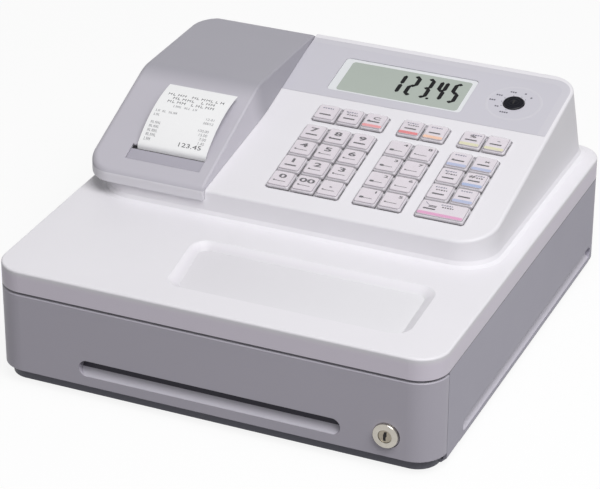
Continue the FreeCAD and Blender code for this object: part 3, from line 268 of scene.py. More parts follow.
@dataclass(frozen=True)
class Finish:
    """A finish with a name; each kind writes its own nodes."""

    name: str

    def write(self, recipe: Recipe) -> None:
        """Writes the finish's nodes."""
        raise NotImplementedError

    def material(self) -> bpy.types.Material:
        """Gives the material, made on its first use."""
        found = bpy.data.materials.get(self.name)
        if found is None:
            found = bpy.data.materials.new(self.name)
            self.write(Recipe(found))
        return found


@dataclass(frozen=True)
class MouldedPlastic(Finish):
    """Injection-moulded plastic with a spark-eroded grain."""

    colour: Colour = (228, 228, 230)
    roughness: float = 0.42
    grain: float = 0.0007
    relief: float = 0.00002
    edge: float = 0.0004
    tone: float = 0.012
    specular: float = 0.4

    def paint(self, recipe: Recipe) -> Wire:
        """Gives the colour with its faint flow marks.

        Args:
            recipe: Material being written.

        Returns:
            Colour of the surface.
        """
        return recipe.blotches(recipe.noise(0.09, 3.0), self.colour, 1 - self.tone, 1 + self.tone)

    def write(self, recipe: Recipe) -> None:
        """Writes grain, flow marks and rounded edges."""
        pebble = recipe.cells(self.grain)
        fine = recipe.noise(self.grain * 0.45, 2.0)
        height = pebble * 0.6 + fine * 0.5
        gloss = recipe.noise(0.03, 2.0)
        recipe.surface({
            "Base Color": self.paint(recipe),
            "Roughness": gloss * 0.08 + fine * 0.06 + (self.roughness - 0.07),
            "Specular IOR Level": self.specular,
            "Normal": recipe.bump(height, self.relief, self.edge),
        })


@dataclass(frozen=True)
class Film(MouldedPlastic):
    """Smooth printed film or thin moulding with a very fine grain."""

    grain: float = 0.0004
    relief: float = 0.00001


@dataclass(frozen=True)
class SkirtedPlastic(MouldedPlastic):
    """Moulded plastic whose lowest strip along the front is darker, as painted shade of the
    recessed base.
    """

    # painted shade: the dark colour of the front base strip stands in for its shadow
    skirt_shade: Colour = (108, 108, 118)
    skirt_top: float = 0.0109
    skirt_rear: float = -0.1515
    blur: float = 0.0004

    def paint(self, recipe: Recipe) -> Wire:
        """Gives the colour, with painted shade on the front strip below skirt_top."""
        upper = super().paint(recipe)
        above = recipe.axis("Z").over(self.skirt_top, self.blur)
        behind = recipe.axis("Y").over(self.skirt_rear, self.blur)
        return recipe.mix((above + behind).step(0.0, 1.0), linear(self.skirt_shade), upper)


@dataclass(frozen=True)
class RearShadedPlastic(MouldedPlastic):
    """Moulded plastic with a pale foot along its front, and painted shade that makes it a little
    darker towards the rear.
    """

    # painted shade: the cover's flat top behind the crease is darker, as it is in shade
    rear_shade_colour: Colour = (180, 178, 186)
    hem_colour: Colour = (224, 222, 228)
    start: float = 0.0
    end: float = 0.1
    hem: float = -0.06
    hem_fade: Flat = (0.011, 0.015)
    hem_top: float = 0.1079
    blur: float = 0.0003

    def paint(self, recipe: Recipe) -> Wire:
        """Gives the colour, sliding from its own tone to the painted shade along the depth."""
        depth = recipe.axis("Y")
        far = depth.step(self.start, self.end)
        body = recipe.mix(far, super().paint(recipe), linear(self.rear_shade_colour))
        behind = depth.step(self.hem + self.hem_fade[0], self.hem + self.hem_fade[1])
        above = recipe.axis("Z").over(self.hem_top, self.blur)
        return recipe.mix((behind + above).step(0.0, 1.0), linear(self.hem_colour), body)


@dataclass(frozen=True)
class CasePlastic(MouldedPlastic):
    """White moulded plastic with painted shade in the dish and on the rim, and a painted shadow
    line under the rim.

    Each pair of numbers is where a blend starts and ends, in metres.
    """

    # painted shade: the dish is darker, less so to the right, where more light falls
    dish_left_shade: Colour = (223, 221, 226)
    dish_right_shade: Colour = (229, 228, 232)
    # painted shade: a slightly darker lavender tint on the rim band below the deck
    rim_shade_tint: Colour = (228, 221, 233)
    # painted shadow of the gap between the rim and the drawer
    seam_shadow: Colour = (84, 82, 90)
    seam_top: float = 0.0731
    seam_blur: float = 0.0001
    left: Flat = (-0.1, -0.09)
    right: Flat = (0.140, 0.145)
    front: Flat = (-0.160, -0.155)
    floor_low: Flat = (0.083, 0.084)
    floor_high: Flat = (0.0849, 0.0880)
    across: Flat = (-0.05, 0.13)
    rim_fade: Flat = (0.083, 0.0885)

    def paint(self, recipe: Recipe) -> Wire:
        """Gives the colour of the deck, with painted shade in the dish and on the rim, and a
        painted shadow line under the rim.
        """
        x, y, z = recipe.axis("X"), recipe.axis("Y"), recipe.axis("Z")
        inside = x.step(*self.left) * (1.0 - x.step(*self.right)) * y.step(*self.front)
        deep = z.step(*self.floor_low) * (1.0 - z.step(*self.floor_high))
        dish = recipe.mix(x.step(*self.across), linear(self.dish_left_shade), linear(self.dish_right_shade))
        body = recipe.mix(z.step(*self.rim_fade), linear(self.rim_shade_tint), super().paint(recipe))
        body = recipe.mix(inside * deep, body, dish)
        return recipe.mix(z.over(self.seam_top, self.seam_blur), linear(self.seam_shadow), body)


@dataclass(frozen=True)
class Rubber(Finish):
    """Dull moulded rubber."""

    colour: Colour = (40, 40, 43)
    roughness: float = 0.75

    def write(self, recipe: Recipe) -> None:
        """Writes a dusty, dull surface."""
        dust = recipe.noise(0.004, 4.0)
        fine = recipe.noise(0.0004, 2.0)
        recipe.surface({
            "Base Color": recipe.blotches(dust.step(0.45, 0.8), self.colour, 1.0, 1.35),
            "Roughness": dust * 0.12 + (self.roughness - 0.06),
            "Specular IOR Level": 0.3,
            "Normal": recipe.bump(fine, 0.00003, 0.0003),
        })


@dataclass(frozen=True)
class Metal(Finish):
    """Plated or drawn metal with fine lines across it."""

    colour: Colour = (196, 192, 184)
    roughness: float = 0.22
    lines: tuple[float, float, float] = (0.0002, 0.004, 0.0002)
    relief: float = 0.000006
    edge: float = 0.0002

    def write(self, recipe: Recipe) -> None:
        """Writes brushed lines and rubbed patches."""
        lines = recipe.stretched_noise(self.lines, 3.0)
        patches = recipe.noise(0.006, 3.0)
        recipe.surface({
            "Base Color": recipe.blotches(patches, self.colour, 0.92, 1.04),
            "Metallic": 1.0,
            "Roughness": lines * 0.10 + patches * 0.10 + (self.roughness - 0.10),
            "Normal": recipe.bump(lines, self.relief, self.edge),
        })


@dataclass(frozen=True)
class TurnedMetal(Metal):
    """Metal with turning rings round an axis that runs along Y."""

    centre: Flat = (0.1279, 0.0279)
    pitch: float = 0.00035

    def write(self, recipe: Recipe) -> None:
        """Writes turning rings and rubbed patches."""
        rings = recipe.rings("X", self.centre, self.pitch)
        patches = recipe.noise(0.004, 3.0)
        recipe.surface({
            "Base Color": recipe.blotches(patches, self.colour, 0.9, 1.05),
            "Metallic": 1.0,
            "Roughness": patches * 0.12 + (self.roughness - 0.06),
            "Normal": recipe.bump(rings, 0.000004, self.edge),
        })


@dataclass(frozen=True)
class ClearCap(Finish):
    """Clear plastic of the key caps, seen over the label inside."""

    colour: Colour = (240, 236, 240)
    alpha: float = 0.16

    def write(self, recipe: Recipe) -> None:
        """Writes a glossy, see-through surface."""
        smear = recipe.noise(0.006, 3.0)
        fine = recipe.noise(0.0006, 2.0)
        recipe.surface({
            "Base Color": recipe.blotches(smear, self.colour, 0.97, 1.03),
            "Roughness": smear * 0.10 + 0.07,
            "Alpha": self.alpha,
            "IOR": 1.49,
            "Specular IOR Level": 0.6,
            "Coat Weight": 0.3,
            "Coat Roughness": 0.06,
            "Normal": recipe.bump(fine, 0.000004, 0.0005),
        })


@dataclass(frozen=True)
class DisplayGlass(Finish):
    """Liquid-crystal glass: a grey-green field under a clear face."""

    colour: Colour = (169, 178, 170)

    def write(self, recipe: Recipe) -> None:
        """Writes the reflector's fine speckle and a glossy coat."""
        speckle = recipe.noise(0.0003, 2.0)
        cloud = recipe.noise(0.05, 2.0)
        tone = speckle * 0.5 + cloud * 0.5
        recipe.surface({
            "Base Color": recipe.blotches(tone, self.colour, 0.97, 1.03),
            "Roughness": speckle * 0.08 + 0.36,
            "Coat Weight": 0.35,
            "Coat Roughness": 0.04,
            "Normal": recipe.bump(speckle, 0.000003),
        })


@dataclass(frozen=True)
class Print(Finish):
    """Ink with a slightly uneven density."""

    colour: Colour = (40, 40, 46)
    grain: float = 0.0004
    roughness: float = 0.5
    spread: float = 0.12

    def write(self, recipe: Recipe) -> None:
        """Writes ink that is a little thinner in places."""
        body = recipe.noise(self.grain, 3.0)
        thin = tuple(value + (255 - value) * self.spread for value in self.colour)
        recipe.surface({
            "Base Color": recipe.mix(body, linear(self.colour), linear(thin)),
            "Roughness": body * 0.1 + (self.roughness - 0.05),
            "Specular IOR Level": 0.3,
            "Normal": recipe.bump(body, 0.000004),
        })


@dataclass(frozen=True)
class Paper(Finish):
    """Thermal paper: smooth, white, with a faint fibre cloud."""

    colour: Colour = (246, 246, 247)
    rings: bool = False
    roughness: float = 0.6
    centre: Flat = (0.092, 0.104)
    pitch: float = 0.0007

    def write(self, recipe: Recipe) -> None:
        """Writes fibre cloud, and the edges of the turns on a wound roll."""
        fibre = recipe.stretched_noise((0.0006, 0.0016, 0.0016), 4.0)
        height = fibre
        tint = recipe.blotches(fibre, self.colour, 0.985, 1.01)
        if self.rings:
            turns = recipe.rings("Y", self.centre, self.pitch)
            height = fibre * 0.4 + turns * 0.6
            tint = recipe.mix(turns * 0.12, tint, linear(toned(self.colour, 0.8)))
        recipe.surface({
            "Base Color": tint,
            "Roughness": fibre * 0.1 + (self.roughness - 0.05),
            "Specular IOR Level": 0.25,
            "Normal": recipe.bump(height, 0.00001),
        })


@dataclass(frozen=True)
class CircuitBoard(Finish):
    """Green board with copper tracks under the lacquer."""

    colour: Colour = (28, 92, 56)
    copper: Colour = (58, 128, 74)
    pitch_x: float = 0.0032
    pitch_y: float = 0.0045

    def write(self, recipe: Recipe) -> None:
        """Writes tracks as bands that bend with a coarse noise."""
        bend = recipe.noise(0.03, 1.0) * 0.03
        lines = ((recipe.axis("X") + bend) * (2 * math.pi / self.pitch_x)).wave().step(0.35, 0.5)
        rows = ((recipe.axis("Y") - bend) * (2 * math.pi / self.pitch_y)).wave().step(0.55, 0.7)
        patch = recipe.noise(0.02, 1.0).step(0.48, 0.52)
        tracks = lines * patch + rows * (1 - patch)
        recipe.surface({
            "Base Color": recipe.mix(tracks, linear(self.colour), linear(self.copper)),
            "Roughness": 0.35 + tracks * 0.08,
            "Coat Weight": 0.4,
            "Normal": recipe.bump(tracks, 0.00003),
        })


PANEL_EDGE = Film("pale_panel_border", (206, 204, 212), 0.36)
WINDOW_EDGE = Film("pale_window_border", (228, 230, 233), 0.4)
DIAL_RING = Film("embossed_dial_ring", (207, 205, 213), 0.38)
GLASS = DisplayGlass("liquid_crystal_glass")
SWITCH_FACE = TurnedMetal("black_switch_face", (22, 22, 30), 0.5, centre=(0.1093, 0.1178))
RING_SHADE = Print("lock_ring_shade", (70, 68, 74), roughness=0.6, spread=0.04)
RING = TurnedMetal("lock_ring_chrome", (190, 185, 176), 0.12)
LOCK = TurnedMetal("lock_plug_steel", (160, 152, 138), 0.3)
SLOT_SHADE = Print("lock_slot_shade", (26, 24, 24), roughness=0.6, spread=0.04)
GRIP_SHADE = MouldedPlastic("grip_shade_plastic", (74, 72, 82), 0.6, tone=0.02)
# painted highlight: the ledges in the grip and in the side grooves are paler than the plastic round
# them
LEDGE_HIGHLIGHT = MouldedPlastic("ledge_painted_highlight", (200, 197, 207), 0.45, tone=0.014)
# painted shade: the sunk apron is a darker copy of the cover's grey
APRON_SHADE = MouldedPlastic("slot_apron_painted_shade", (170, 167, 178), 0.45, tone=0.014)
GAP_SHADE = Print("slot_gap_shade", (30, 29, 34), roughness=0.7, spread=0.04)
KEY_CORE = MouldedPlastic("key_core_plastic", (224, 220, 226), 0.4, grain=0.0005, relief=0.00001)
CLIP = MouldedPlastic("clip_plastic", (62, 62, 68), 0.42, tone=0.03)
CAP = ClearCap("clear_key_cap")
LABEL = Paper("key_label_card", (229, 222, 229))
LABEL_INK = Print("key_label_ink", (40, 37, 46))
BAR_INK = Print("key_underline_ink", (30, 28, 36))
FAINT_INK = Print("key_small_ink", (112, 112, 134))
DIGIT_INK = Print("crystal_black", (4, 4, 7), roughness=0.9, spread=0.0)
# painted shade: a darker ring round each label stands in for the dark edge seen through the clear
# cap
KEY_EDGE_SHADE = Print("key_edge_painted_shade", (150, 143, 152), roughness=0.5, spread=0.05)
PANEL_INK = Print("panel_ink", (92, 90, 102))
RECEIPT_INK = Print("receipt_ink_dark", (52, 52, 56), grain=0.0003, spread=0.2)
RECEIPT_FAINT = Print("receipt_ink_faint", (128, 128, 132), grain=0.0003, spread=0.25)

NODE_FINISHES: dict[str, Finish] = {
    "top_case": CasePlastic("white_case_plastic", (233, 231, 236)),
    "drawer_housing": SkirtedPlastic("grey_housing_plastic", (178, 175, 188), 0.5, tone=0.014),
    "drawer_front": MouldedPlastic("grey_drawer_plastic", (188, 184, 195), 0.45, tone=0.014),
    "drawer_tray": MouldedPlastic(
        "black_tray_plastic", (44, 44, 48), 0.5, grain=0.0009, relief=0.00004, tone=0.04,
    ),
    "coin_tray": MouldedPlastic("grey_coin_tray_plastic", (150, 149, 156), 0.48, tone=0.02),
    "display_panel": Film("lavender_panel_film", (203, 201, 210), 0.38),
    "lcd_module": GLASS,
    "mode_rotor": MouldedPlastic(
        "black_switch_plastic", (20, 20, 27), 0.4, grain=0.0005, tone=0.05, specular=0.25,
    ),
    "key_mat": Rubber("grey_mat_rubber", (150, 152, 156), 0.6),
    "main_board": CircuitBoard("lacquered_circuit_board"),
    "printer_cover": RearShadedPlastic(
        "grey_cover_plastic", (192, 189, 198), 0.45,
        # painted shade on the cover's top, darker from start to end along Y
        rear_shade_colour=(163, 161, 170), start=0.034, end=0.056, hem=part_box("printer_cover")[0][1],
    ),
    "receipt_paper": Paper("thermal_paper"),
    "paper_roll": Paper("wound_thermal_paper", rings=True),
    "printer_frame": MouldedPlastic("black_printer_frame_plastic", (52, 52, 56), 0.5, tone=0.04),
    "print_head": Metal("head_aluminium", (190, 192, 195), 0.32),
    "platen_roller": Rubber("platen_rubber", (46, 46, 50), 0.55),
    "feed_gear": MouldedPlastic("gear_nylon", (214, 210, 198), 0.38, grain=0.0009),
    "lock_barrel": RING,
    "lock_plug": LOCK,
    "drawer_latch": Metal("latch_steel", (150, 150, 154), 0.34),
    "rubber_feet": Rubber("foot_rubber_black", (36, 36, 38)),
    "case_screws": Metal("screw_zinc", (184, 184, 180), 0.3),
    "cord_bush": Rubber("bush_rubber_black", (34, 34, 37), 0.6),
}


@dataclass(frozen=True)
class Slope:
    """The keyboard plane: across, along the slope, and out of it, in millimetres."""

    angle: float = math.radians(11.5)
    rise: float = 116.5

    def at(self, x: float, s: float, n: float) -> Vector:
        """Gives the place of a point on or over the keyboard plane.

        Args:
            x: Across, to the right.
            s: Along the slope, to the rear.
            n: Out of the plane.

        Returns:
            The point in metres.
        """
        sine, cosine = math.sin(self.angle), math.cos(self.angle)
        return Vector((x, s * cosine - n * sine, self.rise + s * sine + n * cosine)) * MM


SLOPE = Slope()


@dataclass(frozen=True)
class Skin:
    """Lays flat shapes on top of a CAD node, whatever its curve."""

    node: str
    left: float
    front: float

    def placer(self) -> Placer:
        """Gives the function that drops a point onto the node."""
        tree = BVHTree.FromObject(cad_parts[self.node], bpy.context.evaluated_depsgraph_get())

        def drop(u: float, v: float, n: float) -> Vector:
            start = Vector(((self.left + u) * MM, (self.front + v) * MM, 1.0))
            hit, normal, _, _ = tree.ray_cast(start, Vector((0, 0, -1)))
            if hit is None:
                return start
            return hit + normal.normalized() * n * MM

        return drop


def rounded(
    left: float, right: float, low: float, high: float, radius: float, steps: int = 5,
) -> list[Flat]:
    """Gives the outline of a rectangle with rounded corners.

    Args:
        left: Left side.
        right: Right side.
        low: Lower side.
        high: Upper side.
        radius: Corner radius.
        steps: Parts in each corner.

    Returns:
        The corners, in order.
    """
    points = []
    centres = [
        (right - radius, low + radius, -90), (right - radius, high - radius, 0),
        (left + radius, high - radius, 90), (left + radius, low + radius, 180),
    ]
    for x, y, start in centres:
        for step in range(steps + 1):
            angle = math.radians(start + 90 * step / steps)
            points.append((x + radius * math.cos(angle), y + radius * math.sin(angle)))
    return points


@dataclass
class Relief:
    """Gathers flat and raised shapes into the mesh of one piece."""

    name: str
    place: Placer
    points: list[Vector] = field(default_factory=list)
    faces: list[tuple[int, ...]] = field(default_factory=list)
    inks: list[int] = field(default_factory=list)
    finishes: list[Finish] = field(default_factory=list)

    def _ink(self, finish: Finish) -> int:
        """Gives the number of a finish in this piece."""
        if finish not in self.finishes:
            self.finishes.append(finish)
        return self.finishes.index(finish)

    def flat(self, outline: Sequence[Flat], n: float, finish: Finish) -> None:
        """Adds a thin shape at one height."""
        start = len(self.points)
        self.points += [self.place(u, v, n) for u, v in outline]
        self.faces.append(tuple(range(start, start + len(outline))))
        self.inks.append(self._ink(finish))

    def plate(
        self, outline: Sequence[Flat], low: float, high: float, edge: float, finish: Finish,
    ) -> None:
        """Adds a raised plate whose upper edge is bevelled.

        Args:
            outline: Outline, anticlockwise.
            low: Height of its underside.
            high: Height of its face.
            edge: Width of the bevel.
            finish: Its finish.
        """
        count = len(outline)
        middle = (sum(u for u, _ in outline) / count, sum(v for _, v in outline) / count)
        inner = [self._drawn_in(point, middle, edge) for point in outline]
        start = len(self.points)
        levels = [(outline, low), (outline, high - edge), (inner, high)]
        rows = [[self.place(u, v, height) for u, v in row] for row, height in levels]
        self.sheet(rows, [finish] * (len(rows) - 1), closed=True)
        top = len(self.points) - count
        self.faces.append(tuple(range(top, top + count)))
        self.faces.append(tuple(reversed(range(start, start + count))))
        self.inks += [self._ink(finish)] * 2

    def _drawn_in(self, point: Flat, middle: Flat, by: float) -> Flat:
        """Moves a corner of an outline towards its middle."""
        across, along = point[0] - middle[0], point[1] - middle[1]
        share = max(0.0, 1 - by * CORNER_PULL / (math.hypot(across, along) or 1.0))
        return middle[0] + across * share, middle[1] + along * share

    def sheet(
        self, rows: Sequence[Sequence[Vector]], finishes: Sequence[Finish], closed: bool = False,
    ) -> None:
        """Joins rows of points into bands of four-sided faces.

        Args:
            rows: Rows with as many points each.
            finishes: Finish of each band between two rows.
            closed: Whether each row's last point joins its first.
        """
        start, count = len(self.points), len(rows[0])
        for row in rows:
            self.points += row
        for level, finish in enumerate(finishes):
            low = start + level * count
            high = low + count
            for index in range(count if closed else count - 1):
                after = (index + 1) % count
                self.faces.append((low + index, low + after, high + after, high + index))
                self.inks.append(self._ink(finish))

    def ring(self, centre: Flat, radii: Sequence[Flat], finish: Finish, parts: int = 72) -> None:
        """Adds a round rib from its radii and heights.

        Args:
            centre: Centre of the ring.
            radii: Radius and height of each step across the rib.
            finish: Its finish.
            parts: Parts round the ring.
        """
        turns = [2 * math.pi * part / parts for part in range(parts)]
        ways = [(math.cos(turn), math.sin(turn)) for turn in turns]
        rows = [
            [self.place(centre[0] + radius * c, centre[1] + radius * s, height) for c, s in ways]
            for radius, height in reversed(radii)
        ]
        self.sheet(rows, [finish] * (len(rows) - 1), closed=True)

    def letters(
        self,
        text: str,
        height: float,
        centre: Flat,
        n: float,
        finish: Finish,
        stretch: float = 1.0,
        weight: float = 0.0,
    ) -> None:
        """Adds printed figures, centred on a point.

        Args:
            text: The figures.
            height: Height of a capital.
            centre: Middle of the text.
            n: Height over the surface.
            finish: Its ink.
            stretch: Width as a share of the font's own.
            weight: How much bolder the strokes are, as a share of the size.
        """
        curve = bpy.data.curves.new("figures", "FONT")
        curve.body, curve.size, curve.resolution_u, curve.offset = text, 1.0, 3, weight
        holder = bpy.data.objects.new("figures", curve)
        mesh = bpy.data.meshes.new_from_object(holder)
        cast = [(v.co.x, v.co.y) for v in mesh.vertices]
        if cast:
            left, right = min(u for u, _ in cast), max(u for u, _ in cast)
            low, high = min(v for _, v in cast), max(v for _, v in cast)
            size = height / CAPITAL
            start, ink = len(self.points), self._ink(finish)
            middle = 0.5 * (low + high) if high - low > LOW_SIGN else CAPITAL / 2
            for u, v in cast:
                across = (u - 0.5 * (left + right)) * size * stretch
                along = (v - middle) * size
                self.points.append(self.place(centre[0] + across, centre[1] + along, n))
            for polygon in mesh.polygons:
                self.faces.append(tuple(start + index for index in polygon.vertices))
                self.inks.append(ink)
        bpy.data.objects.remove(holder)
        bpy.data.curves.remove(curve)
        bpy.data.meshes.remove(mesh)

    def build(self, body: str, slot: Slot, smooth: bool = False) -> None:
        """Makes the piece and sets it on its body.

        Args:
            body: CAD body that it rides on.
            slot: Record's slot of its finish; not used.
            smooth: Whether its faces are shaded smooth.
        """
        mesh = bpy.data.meshes.new(self.name)
        mesh.from_pydata(self.points, [], self.faces)
        for finish in self.finishes:
            mesh.materials.append(finish.material())
        mesh.polygons.foreach_set("material_index", self.inks)
        mesh.polygons.foreach_set("use_smooth", [smooth] * len(mesh.polygons))
        mesh.update()
        piece = bpy.data.objects.new(self.name, mesh)
        bpy.context.scene.collection.objects.link(piece)
        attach(piece, body)
        log.info("%s: %d faces on %s", self.name, len(mesh.polygons), body)


class KeyBar(Enum):
    """Coloured bars along the front of a key's label."""

    RED = (238, 150, 154)
    DEEP_RED = (230, 112, 116)
    ORANGE = (248, 200, 168)
    OLIVE = (226, 223, 184)
    BLUE = (176, 187, 220)
    SKY = (160, 180, 220)
    PINK = (228, 156, 200)

    def finish(self) -> Print:
        """Gives the bar's ink."""
        return Print(f"key_bar_{self.name.lower()}", self.value, spread=0.08)


class Line(Enum):
    """Dark lines under a key's figure, by their thickness."""

    THIN = 0.55
    THICK = 1.45


@dataclass(frozen=True)
class Legend:
    """What one key's label shows."""

    figure: str = ""
    figure_height: float = 4.2
    figure_place: Flat = (0.5, 0.66)
    line: Line = Line.THICK
    blob: float = 0.0
    words: int = 0
    slash: bool = False
    bar: Union[KeyBar, None] = None


@dataclass
class Keyboard:
    """Labels under the clear caps of the keys."""

    pitch_x: float = 18.55
    pitch_s: float = 19.1
    digit_left: float = -24.0
    department_left: float = 41.35
    function_left: float = 87.45
    rows_front: float = -27.7
    top_row: float = 55.1
    border: float = 1.95
    card_low: float = 2.2
    card_top: float = 2.7
    core_border: float = 1.0
    outline: float = 0.4
    corner: float = 1.4
    card_edge: float = 0.12
    core_gap: float = 0.02
    core_low: float = 0.05
    core_edge: float = 0.8
    print_lift: float = 0.03
    bar_inset: float = 0.1
    bar_depth: float = 3.1
    bar_corner: float = 1.1
    bar_room: float = 3.4
    plain_room: float = 0.8
    line_share: float = 0.26
    line_start: float = 2.6
    line_end: float = 11.6
    line_margin: float = 1.8
    end_share: float = 0.8
    blob_start: float = 2.0
    blob_height: float = 2.1
    blob_over: float = 0.01
    blob_lift: float = 0.3
    figure_share: float = 0.8
    figure_stretch: float = 1.9
    figure_weight: float = 0.03
    dashes: tuple[float, ...] = (1.5, 1.1, 1.7, 1.3, 0.9)
    dash_height: float = 1.25
    dash_gap: float = 0.45
    dash_corner: float = 0.3
    words_left: Flat = (0.18, 0.42)
    words_high: Flat = (0.74, 0.2)
    words_indent: float = 1.2
    words_margin: float = 1.2
    slash_at: Flat = (2.2, 0.84)
    slash: tuple[Flat, ...] = ((0, 0), (0.7, 0), (3.4, -2.6), (2.7, -2.6))

    def keys(self) -> Iterable[tuple[str, float, float, float, Legend]]:
        """Gives each key as name, left, front, width and legend.

        Returns:
            The keys of the wells, row by row.
        """
        figures = ["0", "00", ".", "1", "2", "3", "4", "5", "6", "7", "8", "9"]
        for index, figure in enumerate(figures):
            left = self.digit_left + index % 3 * self.pitch_x
            front = self.rows_front + index // 3 * self.pitch_s
            name = "point" if figure == "." else figure
            line = Line.THICK if figure in "1789" else Line.THIN
            blob = 0.0 if figure in "179" else 1.9 if figure == "8" else 1.5
            legend = Legend(figure, 5.4, (0.5, 0.68), line, blob)
            yield f"key_{name}", left, front, self.pitch_x, legend
        for index in range(8):
            left = self.department_left + index // 4 * self.pitch_x
            front = self.rows_front + index % 4 * self.pitch_s
            legend = Legend(str(index + 1), 3.0, (0.8, 0.8), Line.THIN, 3.2 if index < 4 else 1.3)
            yield f"key_department_{index + 1}", left, front, self.pitch_x, legend
        yield from self.function_keys()

    def function_keys(self) -> Iterable[tuple[str, float, float, float, Legend]]:
        """Gives the keys of the right group and the top row."""
        wide = Legend("=", 5.0, (0.26, 0.62), words=2, slash=True, bar=KeyBar.PINK)
        yield "key_total", self.function_left, self.rows_front, 2 * self.pitch_x, wide
        block = [
            ("paid_out", Legend(words=2)),
            ("subtotal", Legend(words=1, bar=KeyBar.BLUE)),
            ("charge", Legend(words=2, slash=True)),
            ("check", Legend("#", 3.4, (0.3, 0.72), words=2, bar=KeyBar.SKY)),
            ("tax", Legend(words=1, blob=2.0, bar=KeyBar.BLUE)),
            ("quantity", Legend("×", 3.6, (0.6, 0.7), bar=KeyBar.BLUE)),
        ]
        for index, (name, legend) in enumerate(block):
            left = self.function_left + index % 2 * self.pitch_x
            front = self.rows_front + (1 + index // 2) * self.pitch_s
            yield f"key_{name}", left, front, self.pitch_x, legend
        top = {
            self.digit_left: [
                ("feed", Legend(words=1)),
                ("receipt", Legend(words=2, slash=True)),
                ("clear", Legend("C", 3.8, (0.56, 0.7), blob=2.4, bar=KeyBar.RED)),
            ],
            self.department_left: [
                ("refund", Legend(words=2, bar=KeyBar.DEEP_RED)),
                ("void", Legend(words=1, bar=KeyBar.ORANGE)),
            ],
            self.function_left: [
                ("percent", Legend("%", 3.6, (0.5, 0.72), words=1, bar=KeyBar.OLIVE)),
                ("minus", Legend("-", 3.6, (0.56, 0.72), bar=KeyBar.OLIVE)),
            ],
        }
        for group, names in top.items():
            for index, (name, legend) in enumerate(names):
                left = group + index * self.pitch_x
                yield f"key_{name}", left, self.top_row, self.pitch_x, legend

    def _label(self, name: str, left: float, front: float, width: float, legend: Legend) -> None:
        """Builds a key's card, a ring of painted shade round it, and what is printed on it."""
        body, border, core = f"{name}_cap", self.border, self.core_border
        x0, x1 = left + border, left + width - border
        s0, s1 = front + border, front + self.pitch_s - border
        card = Relief(f"{name}_label", SLOPE.at)
        plinth = (left + core, left + width - core, front + core, front + self.pitch_s - core)
        top = self.card_low - self.core_gap
        card.plate(rounded(*plinth, self.corner), self.core_low, top, self.core_edge, KEY_CORE)
        # a ring of painted shade round the card, for the cap's dark edge
        line = self.outline
        edge_shade_ring = rounded(x0 - line, x1 + line, s0 - line, s1 + line, self.corner)
        card.flat(edge_shade_ring, self.card_low, KEY_EDGE_SHADE)
        face = rounded(x0, x1, s0, s1, self.corner)
        card.plate(face, self.card_low, self.card_top, self.card_edge, LABEL)
        card.build(body, Slot.PAPER)
        mark = Relief(f"{name}_legend", SLOPE.at)
        room = self._underlines(mark, legend, (x0, x1, s0, s1))
        if legend.figure:
            across, along = legend.figure_place
            place = (x0 + (x1 - x0) * across, s0 + (s1 - s0) * along)
            mark.letters(
                legend.figure, legend.figure_height * self.figure_share, place, self.print_n,
                LABEL_INK, self.figure_stretch, self.figure_weight,
            )
        self._words(mark, legend, room)
        mark.build(body, Slot.PAPER)

    @property
    def print_n(self) -> float:
        """Height of the print over the keyboard plane."""
        return self.card_top + self.print_lift

    def _underlines(self, mark: Relief, legend: Legend, card: Sides) -> Sides:
        """Prints the coloured bar, the dark line and its blob.

        Args:
            mark: Piece being built.
            legend: What the key shows.
            card: Sides of the card.

        Returns:
            Sides of the room over the bar.
        """
        x0, x1, s0, s1 = card
        i = self.bar_inset
        if legend.bar:
            bar = rounded(x0 + i, x1 - i, s0 + i, s0 + self.bar_depth, self.bar_corner, 3)
            mark.flat(bar, self.print_n, legend.bar.finish())
        low = s0 + (self.bar_room if legend.bar else self.plain_room)
        line = low + (s1 - low) * self.line_share
        half, start = legend.line.value / 2, x0 + self.line_start
        end = x0 + min(x1 - x0 - self.line_margin, self.line_end)
        stroke = rounded(start, end, line - half, line + half, half * self.end_share, 2)
        mark.flat(stroke, self.print_n, BAR_INK)
        if legend.blob:
            start, end = x0 + self.blob_start, x0 + self.blob_start + legend.blob
            half = min(legend.blob, self.blob_height) / 2
            line += self.blob_lift
            blob = rounded(start, end, line - half, line + half, half * self.end_share, 3)
            mark.flat(blob, self.print_n + self.blob_over, BAR_INK)
        return x0, x1, low, s1

    def _words(self, mark: Relief, legend: Legend, room: Sides) -> None:
        """Prints short dashes where a key has small wording."""
        x0, x1, s0, s1 = room
        start = x0 + (x1 - x0) * self.words_left[bool(legend.figure)]
        first, apart = self.words_high
        for row in range(legend.words):
            line = s0 + (s1 - s0) * (first - row * apart)
            u, top = start + row * self.words_indent, line + self.dash_height
            for size in self.dashes:
                if u + size > x1 - self.words_margin:
                    break
                dash = rounded(u, u + size, line, top, self.dash_corner, 1)
                mark.flat(dash, self.print_n, LABEL_INK if row else FAINT_INK)
                u += size + self.dash_gap
        if legend.slash:
            u, line = x0 + self.slash_at[0], s0 + (s1 - s0) * self.slash_at[1]
            mark.flat([(u + a, line + b) for a, b in self.slash], self.print_n, FAINT_INK)

    def build(self) -> None:
        """Builds every key's label."""
        for name, left, front, width, legend in self.keys():
            self._label(name, left, front, width, legend)


